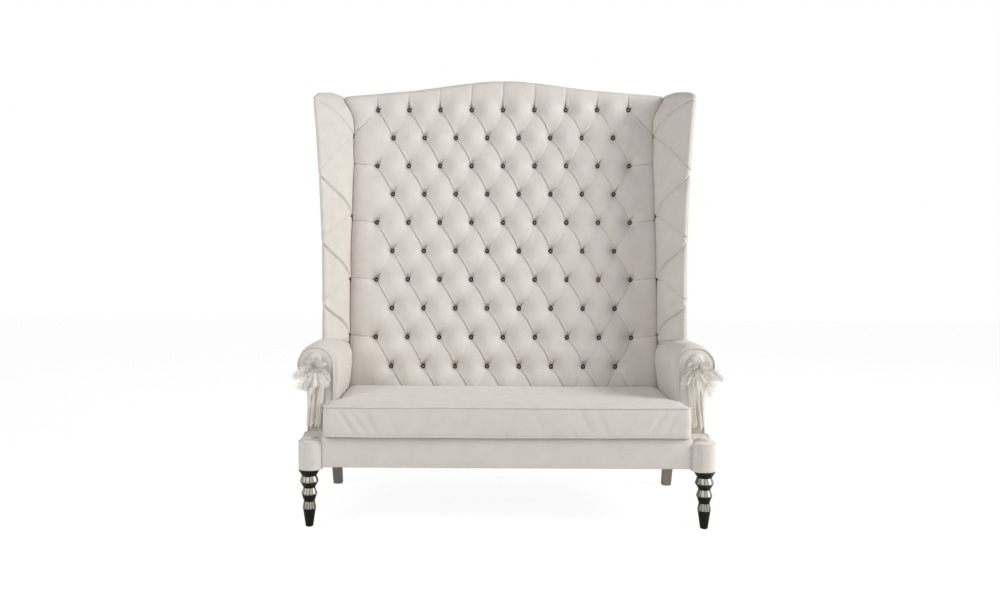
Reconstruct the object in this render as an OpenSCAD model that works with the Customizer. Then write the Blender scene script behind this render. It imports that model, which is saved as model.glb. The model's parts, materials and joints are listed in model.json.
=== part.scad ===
// High back wing settee with a button-tufted back, rolled arms, turned front legs
// and feather tassels. Millimetres, +Z up, the front faces -Y, the origin is on the
// floor under the middle of the overall box.

/* [Overall] */
// Height of the crest above the floor, at its middle
crest_h = 1842; // [1700:1:1900]
// Depth from the front of the cushion to the back of the crest
overall_d = 775; // [750:1:850]
// Clear width between the arms
seat_w = 1360; // [1300:1:1480]
// Height of the seat cushion's upper piping
seat_h = 466; // [450:1:490]
// Lean of the outside back, in degrees
back_rake = 3.7; // [3.2:0.1:4.2]
// Lean of the tufted inside back, in degrees
seat_rake = 6; // [5.5:0.1:6.4]

/* [Base] */
// Height of the turned front legs, with their glides
leg_h = 222; // [200:1:236]
// Radius of a front leg where it meets its block
leg_r = 40.5; // [34:0.5:41]
// Radius of the round front of each block
block_r = 44; // [41:0.5:50]
// Height of each upholstered block
block_h = 120; // [116:1:126]
// Radius of the welted disc on each block
cap_r = 36; // [24:0.5:40]
// Thickness of the welted disc
cap_h = 8; // [4:0.5:12]
// Side of the square corner posts
post_w = 52; // [46:0.5:53]
// Height of the seat rails
rail_h = 90; // [70:1:92]
// Thickness of the seat rails
rail_t = 25; // [20:0.5:30]
// Side of a rear leg at its top
rear_leg_w = 46; // [40:0.5:52]
// Side of a rear leg at the floor
rear_foot_w = 38; // [30:0.5:44]
// How far a rear leg rakes backwards
rear_leg_rake = 68; // [40:1:90]

/* [Arms] */
// Height of the arm roll's top
arm_h = 698; // [680:1:710]
// Radius of the arm roll
roll_r = 86; // [82:0.5:90]
// Width of the arm below its roll
arm_w = 110; // [106:0.5:114]
// How far the arm facings stand behind the front of the cushion
arm_setback = 169; // [150:1:185]
// Radius of the facing's round top
facing_r = 76; // [70:0.5:78]

/* [Back] */
// Thickness of the back at its crest
back_top_t = 131; // [122:1:140]
// How far the crest rises above its two ends
crest_rise = 69; // [50:1:80]
// Distance between buttons in a row
tuft_w = 141; // [130:0.5:150]
// Distance between two rows of buttons
tuft_h = 127.4; // [118:0.2:132]
// How deep the buttons sit in the tufting
tuft_deep = 34; // [20:1:40]
// Radius of a button
button_r = 10; // [7:0.5:12]

/* [Wings] */
// How far the wings' tops stay below the crest
wing_drop = 87; // [77:1:190]
// How far the wings reach forward of the tufted back
wing_reach = 168; // [140:1:180]
// Radius of the wing's rolled front edge
wing_r = 30; // [26:0.5:33]

/* [Cushion] */
// How far the cushion's top is crowned above its piping
cushion_crown = 14; // [8:1:24]
// Radius of the cushion's piping
piping_r = 3.5; // [2.5:0.5:4.5]

/* [Hidden] */

clear = 0.3;                      // gap that soft and fitted pieces keep
over = 1;                         // overrun of a cut
round_fn = 64;
panel_t = 6;                      // padded hardboard of the outside panels
cover_t = 8;                      // padding over the rails and posts

// Front and side planes
front_y = -overall_d / 2;
seat_x = seat_w / 2;
arm_x = seat_x + arm_w;           // outside of the arm, below its roll
arm_y = front_y + arm_setback;
facing_t = 8;
behind_facing_y = arm_y + facing_t + clear;

// Base
block_x = arm_x - panel_t - clear - post_w / 2;
block_y = front_y + block_r;
block_top = leg_h + block_h;
post_in_x = block_x - post_w / 2;
post_top = block_top - cover_t;
rail_gap = 18;                    // blocks reach this far below the rails
rail_z = leg_h + rail_gap;
rail_top = rail_z + rail_h;
skirt_z = rail_z - cover_t;       // underside of the padding under the rails
border_setback = 20;
rail_y = front_y + border_setback + cover_t;
stump_d = 45;                     // timber behind each arm facing
deck_t = 20;                      // springs, cloth and pad above the rails
deck_z = rail_top + deck_t;

// Arms
roll_out = 67;                    // middle of the roll, outside the arm's inner face
roll_x = seat_x + roll_out;
roll_z = arm_h - roll_r;
wing_h = crest_h - wing_drop;
roll_pad_t = 30;
core_r = roll_r - roll_pad_t;
facing_out = 5;
facing_drop = 4;
facing_x = roll_x + facing_out;
facing_z = roll_z - facing_drop;
facing_in_x = seat_x + 3 * clear;
welt_r = 3;

// Back
back_half = seat_x - 4 * over;    // half the width of the tufted pad
board_t = 45;                     // depth of the back frame's timber
stile_w = 45;
web_t = 1.5;
crest_half = seat_x + roll_out / 3;
panel_half = roll_x;              // half the width of the outside back above the arms

function lean_y(z) = overall_d / 2 - (crest_h - z) * tan(back_rake);
function inner_y(z) = overall_d / 2 - back_top_t - (crest_h - z) * tan(seat_rake);
function along_back(z) = z / cos(back_rake);

// Height that the crest has lost at a distance x from the middle: a smooth hump that
// runs into straight shoulders
hump_share = 0.595;
hump_drop_share = 0.638;
function crest_drop(x) =
    let (hump_x = crest_half * hump_share,
         hump_drop = crest_rise * hump_drop_share,
         slope = (crest_rise - hump_drop) / (crest_half - hump_x),
         t = min(abs(x) / hump_x, 1))
    abs(x) >= hump_x
        ? hump_drop + slope * (abs(x) - hump_x)
        : hump_drop * t * t * (3 - 2 * t) + slope * hump_x * t * t * (t - 1);
function crest_z(x) = crest_h - crest_drop(x);

// Rear corner posts stand against the outside back at the height of the skirt
rear_y = lean_y(skirt_z) - panel_t - 2 * clear - post_w / 2;
rear_rail_y = rear_y + post_w / 2 - rail_t;

// Draws children on the right-hand side (1) or mirrored on the left-hand side (-1)
module at_side(side) {
    if (side > 0) children();
    else mirror([1, 0, 0]) children();
}

module both_sides() {
    at_side(1) children();
    at_side(-1) children();
}

// Children are drawn in the leaning frame: y = 0 is the outside face of the back
module leaning() {
    translate([0, lean_y(0), 0]) rotate([-back_rake, 0, 0]) children();
}

// Thickens a 2D outline of x and height from y = 0 towards the front
module upright(thick) {
    rotate([90, 0, 0]) linear_extrude(thick) children();
}

// A block given by its lowest and highest corners
module block(low, high) {
    translate(low) cube(high - low);
}

// Everything behind a leaning plane, a distance in front of the outside of the back
module behind_back(ahead) {
    leaning() translate([-crest_h, -ahead, -crest_h]) cube([2 * crest_h, crest_h, 3 * crest_h]);
}

// A closed solid through rings of equal count, lowest ring first, each anticlockwise
// from above, closed by a fan to a point at each end
module loft(rings, low, high) {
    n = len(rings[0]);
    m = len(rings);
    sides = [for (i = [0:m - 2], j = [0:n - 1])
        let (a = i * n + j, b = i * n + (j + 1) % n)
        each [[a, a + n, b], [b, a + n, b + n]]];
    ends = [for (j = [0:n - 1]) each [
        [j, (j + 1) % n, m * n],
        [(m - 1) * n + (j + 1) % n, (m - 1) * n + j, m * n + 1]]];
    polyhedron(concat([for (r = rings) each r], [low, high]), concat(sides, ends));
}

// Front legs: a turned profile as shares of the top radius and of the leg's height
glide_h = 3;
glide_r = 12;
bolt_r = 4;
bolt_in = 35;                     // how far a bolt reaches into the leg
bolt_up = 45;                     // and into the post
insert_r = 7;
insert_l = 22;
leg_shares = [[0.368, 0], [0.39, 0.03], [0.607, 0.315], [0.494, 0.432], [0.733, 0.568],
              [0.526, 0.671], [0.862, 0.784], [0.667, 0.883], [1, 0.985], [1, 1]];

module front_leg(side) {
    color("#141312") at_side(side) translate([block_x, block_y, 0]) difference() {
        rotate_extrude($fn = round_fn) polygon(concat(
            [[0, glide_h]],
            [for (s = leg_shares) [leg_r * s[0], glide_h + (leg_h - glide_h) * s[1]]],
            [[0, leg_h]]));
        translate([0, 0, leg_h - bolt_in]) cylinder(r = bolt_r, h = bolt_in + over);
    }
}

// Rear legs: square, tapered and raked backwards
module rear_leg(side) {
    top = rear_leg_w / 2;
    foot = rear_foot_w / 2;
    points = [for (c = [[foot, rear_leg_rake, glide_h], [top, 0, skirt_z]])
        each [for (s = [[-1, -1], [1, -1], [1, 1], [-1, 1]])
            [c[0] * s[0], c[1] + c[0] * s[1], c[2]]]];
    color("#76706A") at_side(side) translate([block_x, rear_y, 0]) difference() {
        polyhedron(points, [[0, 1, 2, 3], [7, 6, 5, 4], [4, 5, 1, 0], [5, 6, 2, 1],
            [6, 7, 3, 2], [7, 4, 0, 3]]);
        translate([0, 0, skirt_z - bolt_in]) cylinder(r = bolt_r, h = bolt_in + over);
    }
}

module leg_glides() {
    color("#3A3A3C") both_sides() {
        translate([block_x, block_y, 0]) cylinder(r = glide_r, h = glide_h);
        translate([block_x, rear_y + rear_leg_rake, 0]) cylinder(r = glide_r, h = glide_h);
    }
}

// Places children at the foot of each corner post
module at_posts() {
    both_sides() {
        translate([block_x, block_y, leg_h]) children();
        translate([block_x, rear_y, skirt_z]) children();
    }
}

module leg_bolts() {
    color("#9C9EA0") at_posts() translate([0, 0, -bolt_in])
        cylinder(r = bolt_r, h = bolt_in + bolt_up);
}

module leg_inserts() {
    color("#B7B9BA") at_posts() difference() {
        cylinder(r = insert_r, h = insert_l);
        translate([0, 0, -over]) cylinder(r = bolt_r, h = insert_l + 2 * over);
    }
}

// The hole for an insert and its bolt
module insert_hole() {
    translate([0, 0, -over]) cylinder(r = insert_r, h = insert_l + over);
    cylinder(r = bolt_r, h = bolt_up + over);
}

module front_post(side) {
    color("#C79F6B") at_side(side) difference() {
        block([post_in_x, block_y - post_w / 2, leg_h],
              [post_in_x + post_w, behind_facing_y + stump_d, post_top]);
        translate([block_x, block_y, leg_h]) insert_hole();
    }
}

module rear_post(side) {
    color("#C79F6B") at_side(side) difference() {
        block([post_in_x, rear_y - post_w / 2, skirt_z],
              [post_in_x + post_w, rear_y + post_w / 2, post_top]);
        translate([block_x, rear_y, skirt_z]) insert_hole();
    }
}

module front_rail() {
    color("#CFA873") block([-post_in_x, rail_y, rail_z], [post_in_x, rail_y + rail_t, rail_top]);
}

module rear_rail() {
    color("#CFA873") block([-post_in_x, rear_rail_y, rail_z],
                           [post_in_x, rear_rail_y + rail_t, rail_top]);
}

module side_rail(side) {
    color("#CFA873") at_side(side)
        block([post_in_x, behind_facing_y + stump_d, rail_z],
              [post_in_x + rail_t, rear_y - post_w / 2, rail_top]);
}

stretcher_w = 40;
stretcher_h = 50;
module seat_stretchers() {
    color("#B98F5C") both_sides() translate([seat_x / 3, 0, 0])
        block([0, rail_y + rail_t, rail_z],
              [stretcher_w, rear_rail_y, rail_z + stretcher_h]);
}

brace_w = 26;
brace_z = 10;
module corner_braces() {
    color("#B98F5C") both_sides() translate([post_in_x, 0, rail_z + brace_z]) {
        translate([0, rail_y + rail_t, 0]) linear_extrude(rail_h - 3 * brace_z)
            polygon([[0, 0], [0, brace_w], [-2 * brace_w, 0]]);
        translate([0, rear_rail_y, 0]) linear_extrude(rail_h - 3 * brace_z)
            polygon([[0, 0], [-2 * brace_w, 0], [0, -brace_w]]);
    }
}

// Sinuous springs run from the front rail to the rear rail: square bends, alternately
// to the left and to the right
spring_count = 9;
spring_step = 2 * back_half / (spring_count + 1);
spring_amp = 24;
spring_bend = 20;
spring_wire = 3.5;
clip_t = 1.5;
spring_start = rail_y + rail_t / 2;
spring_end = rear_rail_y + rail_t / 2;
spring_bends = 2 * round((spring_end - spring_start) / spring_bend / 2);
module seat_springs() {
    step = (spring_end - spring_start) / spring_bends;
    half = spring_wire / 2;
    // Each edge of the wire, given by the side of its middle line that it lies on
    function wire_edge(s) = [for (k = [0:spring_bends - 1])
        let (x = spring_amp * (k % 2 * 2 - 1), y = spring_start + k * step)
        each [[x + s * half, y - s * half * (k % 2 * 2 - 1) * (k == 0 ? 0 : 1)],
              [x + s * half, y + step + s * half * (k % 2 * 2 - 1) * (k == spring_bends - 1 ? 0 : 1)]]];
    edge = wire_edge(-1);
    color("#8D9093") for (i = [1:spring_count])
        translate([i * spring_step - back_half, 0, rail_top + clip_t])
            linear_extrude(spring_wire) polygon(concat(wire_edge(1),
                [for (k = [len(edge) - 1:-1:0]) edge[k]]));
}

module spring_clips() {
    clip_w = 18;
    color("#6F7275") for (i = [1:spring_count], y = [rail_y, rear_rail_y])
        translate([i * spring_step - back_half - clip_w / 2, y + rail_t / 3, rail_top])
            cube([clip_w, rail_t / 2, clip_t]);
}

// Cloth over the springs, with the deck's padding on it
cloth_t = 1;
cloth_z = rail_top + clip_t + spring_wire + clear;
deck_y = rail_y + cover_t;        // behind the front border's top
deck_end = lean_y(rail_top) - 2 * panel_t - board_t;
module deck_cloth() {
    color("#B79C74") block([-seat_x + 2 * clear, deck_y, cloth_z],
                           [seat_x - 2 * clear, deck_end, cloth_z + cloth_t]);
}

module deck_pad() {
    wide = block_x - block_r - 2 * clear;
    color("#E2DDD4") {
        block([-wide, deck_y, cloth_z + cloth_t], [wide, arm_y - 2 * welt_r - clear, deck_z]);
        block([-seat_x + 2 * clear, deck_y, cloth_z + cloth_t],
              [seat_x - 2 * clear, deck_end, deck_z]);
    }
}

dust_t = 1;
module dust_cover() {
    wide = block_x - block_r - 2 * clear;
    color("#2B2B2D") block([-wide, rail_y + cover_t, rail_z - dust_t],
                           [wide, rear_rail_y + rail_t, rail_z]);
}

// The upholstered blocks over the front legs: round in front, straight behind
module block_cover(side) {
    color("#DAD5CC") at_side(side) difference() {
        union() {
            translate([block_x, block_y, leg_h]) cylinder(r = block_r, h = block_h, $fn = round_fn);
            block([block_x - block_r, block_y, leg_h],
                  [block_x + block_r, arm_y, block_top]);
        }
        block([post_in_x - clear, block_y - post_w / 2 - clear, leg_h - over],
              [post_in_x + post_w + clear, arm_y + over, post_top + clear]);
        block([block_x - block_r - over, rail_y - clear, skirt_z],
              [block_x, arm_y + over, rail_top + clear]);
    }
}

// A welted disc on each block: a drum with a rounded rim
module block_cap(side) {
    cap_back = 6;
    rim_r = cap_h / 2;
    color("#DED9D0") at_side(side) translate([block_x, block_y + cap_back, block_top]) {
        cylinder(r = cap_r - rim_r, h = cap_h, $fn = round_fn);
        translate([0, 0, rim_r]) rotate_extrude($fn = round_fn)
            translate([cap_r - rim_r, 0]) circle(r = rim_r, $fn = round_fn / 2);
    }
}

// The padded border in front of the seat rail, rounded at its two front edges
module front_border() {
    wide = block_x - block_r - clear;
    face_y = front_y + border_setback;
    round_r = cover_t - 2 * clear;
    color("#D6D1C8") translate([-wide, 0, 0]) rotate([90, 0, 90]) linear_extrude(2 * wide)
        difference() {
            union() {
                translate([face_y, skirt_z + round_r]) square([2 * cover_t, deck_z - skirt_z - 2 * round_r]);
                translate([face_y + round_r, skirt_z])
                    square([2 * cover_t - round_r - clear, deck_z - skirt_z]);
                for (z = [skirt_z + round_r, deck_z - round_r])
                    translate([face_y + round_r, z]) circle(r = round_r, $fn = round_fn);
            }
            translate([rail_y - clear, rail_z - clear])
                square([2 * cover_t, rail_h + 2 * clear]);
            translate([rail_y + cover_t - clear, 0]) square([cover_t, crest_h]);
        }
}

// Arm frames: a round timber core on a board, with a stump at each end
module arm_frame(side) {
    long = overall_d;
    color("#C79F6B") at_side(side) difference() {
        union() {
            translate([roll_x, behind_facing_y + long, roll_z]) upright(long)
                circle(r = core_r, $fn = round_fn);
            block([post_in_x, behind_facing_y, rail_top],
                  [post_in_x + rail_t, behind_facing_y + long, roll_z]);
            block([post_in_x, behind_facing_y, post_top],
                  [post_in_x + post_w, behind_facing_y + stump_d, roll_z]);
            block([post_in_x, rear_y - post_w / 2, post_top],
                  [post_in_x + post_w, behind_facing_y + long, roll_z]);
        }
        block([0, behind_facing_y - over, 0], [arm_x, behind_facing_y + stump_d, post_top]);
        block([0, rear_y - post_w / 2, 0], [arm_x, behind_facing_y + long, post_top]);
        behind_back(panel_t + 2 * clear);
    }
}

// Arm pads: the roll's stuffing and the arm's inner face
module arm_pad(side) {
    long = overall_d;
    wall_x = post_in_x - clear;
    color("#DDD8CF") at_side(side) difference() {
        translate([0, behind_facing_y + long, 0]) upright(long) difference() {
            union() {
                translate([roll_x, roll_z]) circle(r = roll_r, $fn = round_fn);
                translate([seat_x, deck_z - deck_t + 5 * over])
                    square([wall_x - seat_x, roll_z - deck_z + deck_t]);
            }
            translate([roll_x, roll_z]) circle(r = core_r + clear, $fn = round_fn);
            translate([wall_x, 0]) square([post_w + 2 * clear, roll_z]);
        }
        behind_back(panel_t + 2 * clear);
        translate([-crest_h, inner_y(0) - 2 * clear, 0]) rotate([-seat_rake, 0, 0])
            cube([crest_h + back_half + clear, crest_h, crest_h]);
    }
}

// The outline of an arm facing: a round top on a straight lower part
module facing_outline() {
    translate([facing_x, facing_z]) circle(r = facing_r, $fn = round_fn);
    translate([facing_in_x, block_top + clear])
        square([arm_x - facing_in_x, facing_z - block_top - clear]);
}

module arm_facing(side) {
    color("#E0DBD2") at_side(side) translate([0, arm_y + facing_t, 0]) upright(facing_t)
        facing_outline();
}

// Piping round the facings, in front of their edges: a round arc on two straight runs
module facing_welts() {
    ring_r = facing_r - welt_r;
    in_dx = facing_x - facing_in_x - welt_r;
    out_dx = arm_x - welt_r - facing_x;
    in_turn = acos(min(in_dx / ring_r, 1));
    out_turn = acos(out_dx / ring_r);
    low_z = block_top + clear;
    color("#D2CCC2") both_sides() translate([facing_x, arm_y - welt_r, 0]) {
        translate([0, 0, facing_z]) rotate([90, -out_turn, 0])
            rotate_extrude(angle = 180 + out_turn + in_turn, $fn = round_fn)
                translate([ring_r, 0]) circle(r = welt_r, $fn = round_fn / 4);
        for (e = [[-in_dx, in_turn], [out_dx, out_turn]])
            translate([e[0], 0, low_z]) cylinder(r = welt_r - clear,
                h = facing_z - ring_r * sin(e[1]) - low_z, $fn = round_fn / 4);
    }
}

// Outside arms: a flat panel that tucks under the roll
module outside_arm(side) {
    long = overall_d;
    in_dx = arm_w - panel_t - roll_out;
    top_z = roll_z - sqrt(roll_r * roll_r - in_dx * in_dx) - clear;
    color("#DAD5CC") at_side(side) difference() {
        union() {
            block([arm_x - panel_t, behind_facing_y, skirt_z], [arm_x, arm_y + long, top_z]);
            block([arm_x - panel_t, arm_y + clear, skirt_z],
                  [arm_x, arm_y + long, block_top - clear]);
        }
        behind_back(panel_t + 2 * clear);
    }
}

// Back frame, in the leaning plane
module behind_panel() {
    leaning() translate([0, -panel_t - clear, 0]) children();
}

module back_stiles() {
    color("#C79F6B") difference() {
        behind_panel() both_sides() translate([back_half - stile_w, 0, 0])
            upright(board_t) square([stile_w, along_back(crest_rail_z())]);
        block([-seat_x, 0, -over], [seat_x, overall_d, rail_top]);
    }
}

crest_rail_h = 60;
crest_rail_drop = 20;             // stuffing above the crest rail
function crest_rail_z() = crest_h - crest_rise - crest_rail_drop - crest_rail_h;
module crest_rail() {
    steps = 16;
    step = 2 * back_half / steps;
    color("#B98F5C") behind_panel() upright(board_t) polygon(concat(
        [for (k = [0:steps]) [k * step - back_half,
            along_back(crest_z(k * step - back_half) - crest_rail_drop)]],
        [[back_half, along_back(crest_rail_z())], [-back_half, along_back(crest_rail_z())]]));
}

rail_board_h = 60;
module back_rails() {
    wide = back_half - stile_w;
    low = along_back(deck_z + deck_t);
    span = along_back(crest_rail_z()) - low;
    color("#B98F5C") behind_panel() for (k = [0:2])
        translate([-wide, 0, low + span * k / 3])
            upright(board_t / 2) square([2 * wide, rail_board_h]);
}

// Webbing strips cross on the front of the back frame
web_w = 50;
module back_webbing() {
    low = along_back(deck_z + deck_t);
    high = along_back(crest_rail_z() + crest_rail_h / 2);
    ups = 7;
    across = 8;
    color("#7D7568") leaning() translate([0, -panel_t - clear - board_t, 0]) upright(web_t) {
        for (k = [0:ups - 1]) translate([(k - (ups - 1) / 2) * 2 * back_half / ups - web_w / 2, low])
            square([web_w, high - low]);
        for (k = [0:across - 1]) translate([-back_half, low + k * (high - low - web_w) / (across - 1)])
            square([2 * back_half, web_w]);
    }
}

// Outside back: one panel with the crest's outline, wider behind the arms
module outside_back() {
    steps = 24;
    step = 2 * crest_half / steps;
    shoulder = along_back(wing_h - wing_r / 2);
    color("#D8D3CA") leaning() upright(panel_t) {
        polygon(concat(
            [[panel_half, along_back(skirt_z)], [panel_half, shoulder]],
            [for (k = [steps:-1:0]) [k * step - crest_half,
                along_back(crest_z(k * step - crest_half) - clear)]],
            [[-panel_half, shoulder], [-panel_half, along_back(skirt_z)]]));
        translate([-arm_x, along_back(skirt_z)]) square([2 * arm_x, roll_z - skirt_z]);
        for (s = [-1, 1]) translate([s * roll_x, along_back(roll_z)])
            circle(r = roll_r, $fn = round_fn);
    }
}

// Diamond tufting. The grid has four steps between two buttons of a row and two steps
// between two rows. A share of the depth is given to each kind of place on it.
tuft_drop = 131;                  // upper row of buttons below the crest
tuft_rows = floor((crest_h - tuft_drop - seat_h - tuft_h / 2) / tuft_h) + 1;
tuft_half = floor((back_half - tuft_w / 3) / tuft_w);
side_steps = 3;
row_share = 0.3;                  // between a button and the pillow beside it
channel_share = 0.5;              // half way along a pleat
rise_share = 0.15;                // above or below a button
edge_share = 0.4;                 // where the tufting meets the wing
wide_steps = 4 * tuft_half;
high_steps = 2 * tuft_rows;

// Depth at a grid place, i steps right of the middle and j steps below the upper row
function is_button(i, j) = j % 2 == 0 && (abs(i) + j) % 4 == 0;
function is_pillow(i, j) = j % 2 == 0 && (abs(i) + j) % 4 == 2;
function tuft_share(i, j) =
    j % 2 == 1 ? (abs(i) % 2 == 1 ? channel_share : rise_share)
    : is_button(i, j) ? 1
    : is_pillow(i, j) ? 0
    : row_share;

// Beyond the last button a level pleat runs to the wing from every other row
function side_share(k, j) =
    let (edge = edge_share * k / side_steps)
    j % 4 == 0 ? max(channel_share, edge) : j % 2 == 1 ? edge + rise_share * (1 - k / side_steps)
    : edge;
// Above the upper row a pleat rises from each of its buttons
function top_share(i) = abs(i) % 4 == 0 ? channel_share : abs(i) % 4 == 2 ? 0 : rise_share;

columns = [for (i = [-wide_steps - side_steps:wide_steps + side_steps]) i];
function column_x(i) =
    abs(i) <= wide_steps ? i * tuft_w / 4
    : sign(i) * (tuft_half * tuft_w
        + (abs(i) - wide_steps) * (back_half - tuft_half * tuft_w) / side_steps);
top_shares = [1, 0.8, 0.4];       // heights of the rows above the upper row of buttons
top_fall_shares = [1, 1, 1.6];    // how much deeper their pleats are, next to the buttons
crest_round_shares = [1, 0.35, 0]; // how far these are rounded back
crest_round = 30;
tuft_z = crest_h - tuft_drop;
pad_low = deck_z + clear;
pad_ahead = panel_t + 2 * clear + board_t + web_t;

// One row of points on the tufted face, from the left-hand edge to the right-hand edge
function face_point(x, z, depth) = [x, inner_y(z) + depth, z];
function depth_at(i, j) = tuft_deep * (abs(i) <= wide_steps ? tuft_share(i, j)
    : side_share(abs(i) - wide_steps, j));
function face_row(j) = [for (i = columns) face_point(column_x(i), tuft_z - j * tuft_h / 2, depth_at(i, j))];
function crest_row(k) = [for (i = columns)
    let (x = column_x(i),
         z = tuft_z + (crest_z(x) - tuft_z) * top_shares[k],
         side = max(abs(i) - wide_steps, 0) / side_steps)
    face_point(x, z, tuft_deep * max(side > 0 ? 0 : top_share(i) * top_fall_shares[k], side * edge_share)
        + crest_round * crest_round_shares[k])];
bottom_row = [for (i = columns) face_point(column_x(i), pad_low, tuft_deep * channel_share)];

module tufted_back_pad() {
    rows = concat([for (k = [0:len(top_shares) - 1]) crest_row(k)],
        [for (j = [0:high_steps]) face_row(j)], [bottom_row]);
    n = len(columns);
    m = len(rows);
    front = [for (r = rows) each r];
    // The edge of the face, anticlockwise from the front, and the same edge at the rear
    edge = concat([for (c = [0:n - 2]) (m - 1) * n + c], [for (r = [m - 1:-1:1]) r * n + n - 1],
        [for (c = [n - 1:-1:1]) c], [for (r = [0:m - 2]) r * n]);
    rear = [for (e = edge) let (p = front[e]) [p[0], lean_y(p[2]) - pad_ahead / cos(back_rake), p[2]]];
    middle_z = (crest_h + pad_low) / 2;
    middle = [0, lean_y(middle_z) - pad_ahead / cos(back_rake), middle_z];
    k = len(edge);
    // The diagonal of each cell follows the pleat that joins two buttons
    cells = [for (r = [0:m - 2], c = [0:n - 2])
        let (a = r * n + c, i = floor((columns[c] + 4 * n) / 2), j = floor((r - len(top_shares)) / 2),
             level = r < len(top_shares) || abs(columns[c] + 1 / 2) > wide_steps,
             falls = level ? columns[c] < 0 : (i + j) % 2 == 0)
        each falls ? [[a, a + 1, a + n + 1], [a, a + n + 1, a + n]]
                   : [[a, a + 1, a + n], [a + 1, a + n + 1, a + n]]];
    sides = [for (e = [0:k - 1])
        let (f = (e + 1) % k, s = n * m)
        each [[edge[e], edge[f], s + e], [edge[f], s + f, s + e]]];
    backs = [for (e = [0:k - 1]) [n * m + e, n * m + (e + 1) % k, n * m + k]];
    color("#D3CDC4") polyhedron(concat(front, rear, [middle]), concat(cells, sides, backs));
}

// A button rests in each dimple on the slope towards its neighbours in the row
module back_buttons() {
    seat = button_r / (tuft_w / 4) * (1 - row_share) * tuft_deep + 2 * clear;
    dome_shares = [[1, 0], [1, 0.3], [0.85, 0.6], [0.5, 0.9], [0, 1]];
    dome_h = 6;
    color("#3B3734") for (j = [0:2:high_steps - 1], i = [-wide_steps:wide_steps])
        if (is_button(i, j)) let (z = tuft_z - j * tuft_h / 2)
            translate([column_x(i), inner_y(z) + tuft_deep - seat, z]) rotate([90 - seat_rake, 0, 0])
                rotate_extrude($fn = round_fn / 2) polygon(concat([[0, 0]],
                    [for (s = dome_shares) [button_r * s[0], dome_h * s[1]]]));
}

// Wings: a lofted pad that leans out towards its top, with slanting folds. Each ring
// runs from the outer rear corner round the inner face and the rolled front edge.
wing_low_out = 17;                // front edge outside the roll's middle, at the arm
wing_top_out = 80;                // and at the wing's top
wing_base = roll_z + roll_r / 2;
wing_face_shares = [0, 0.25, 0.5, 0.75, 1];
wing_turns = [150, 180, 225, 270, 315, 0];
fold_deep = 7;
// Heights of the folds at the back and at the front, as shares of the wing's height
fold_shares = [[0.013, 0.146], [0.237, 0.154], [0.245, 0.393], [0.503, 0.401],
               [0.511, 0.664], [0.841, 0.672], [0.849, 0.967]];
function wing_rise(share) = arm_h + (wing_h - arm_h) * share;
function wing_out(z) = wing_low_out + (wing_top_out - wing_low_out)
    * pow(max((z - arm_h) / (wing_h - arm_h), 0), 2);

// A point of the ring for a share s of the way forward, and its depth of fold
function wing_face(s, z, fold) =
    let (cx = roll_x + wing_out(z) - wing_r, cy = inner_y(z) - wing_reach + wing_r,
         x0 = back_half + clear, y0 = inner_y(z) + cover_t,
         x1 = cx - wing_r * cos(30), y1 = cy + wing_r * sin(30))
    [x0 + (x1 - x0) * s + fold * sin(180 * s), y0 + (y1 - y0) * s, z];
function wing_ring(back_z, front_z, fold, inset) =
    let (rear_x = panel_half, cz = front_z, r = wing_r - fold / 2 - inset / 2,
         cx = roll_x + wing_out(cz) - wing_r - inset, cy = inner_y(cz) - wing_reach + wing_r,
         panel_y = lean_y(back_z) - (panel_t + 2 * clear) / cos(back_rake))
    concat(
        [[rear_x - inset, panel_y, back_z], [back_half + clear + inset, panel_y, back_z]],
        [for (s = wing_face_shares) wing_face(s * 0.9, back_z + (front_z - back_z) * s, fold + inset)],
        [for (a = wing_turns) [cx + r * cos(a == 0 ? 360 : a), cy + r * sin(a), cz]],
        [[(rear_x + cx + wing_r) / 2, (panel_y + cy) / 2, (back_z + cz) / 2]]);

module wing_solid() {
    n = len(fold_shares);
    folds = [for (k = [0:n - 1]) each concat(
        k == 0 ? [] : [wing_ring(wing_rise((fold_shares[k][0] + fold_shares[k - 1][0]) / 2),
            wing_rise((fold_shares[k][1] + fold_shares[k - 1][1]) / 2), 0, 0)],
        [wing_ring(wing_rise(fold_shares[k][0]), wing_rise(fold_shares[k][1]), fold_deep, 0)])];
    rings = concat([wing_ring(wing_base, wing_base, 0, 0)], folds,
        [wing_ring(wing_rise(0.93), wing_rise(0.982), 0, 0),
         wing_ring(wing_rise(0.985), wing_rise(0.994), 0, wing_r / 6),
         wing_ring(wing_h, wing_h, 0, wing_r / 2)]);
    mid_low = (inner_y(wing_base) + lean_y(wing_base)) / 2;
    mid_high = inner_y(wing_h);
    loft(rings, [(back_half + panel_half) / 2, mid_low, wing_base],
        [(back_half + roll_x + wing_top_out) / 2, mid_high, wing_h]);
}

// The board inside a wing, grown by a margin for its pocket
wing_board_t = 18;
module wing_board(margin) {
    top_z = wing_h - wing_r - cover_t;
    low_z = arm_h + 2 * cover_t;
    hull() for (z = [low_z, top_z])
        let (rear = lean_y(z) - panel_t - 3 * clear, mid = inner_y(z),
             x = (back_half + panel_half) / 2, lean = wing_out(z) / 4)
        for (p = [[x, rear], [x + lean, mid]])
            translate([p[0] - wing_board_t / 2 - margin, p[1] - wing_board_t - margin, z - margin])
                cube([wing_board_t + 2 * margin, wing_board_t + 2 * margin, 2 * margin + over]);
}

module wing_frame(side) {
    color("#C79F6B") at_side(side) wing_board(0);
}

module wing_pad(side) {
    color("#DBD6CD") at_side(side) difference() {
        wing_solid();
        wing_board(clear);
        translate([roll_x, overall_d, roll_z]) upright(2 * overall_d)
            circle(r = roll_r + clear, $fn = round_fn);
    }
}

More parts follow.
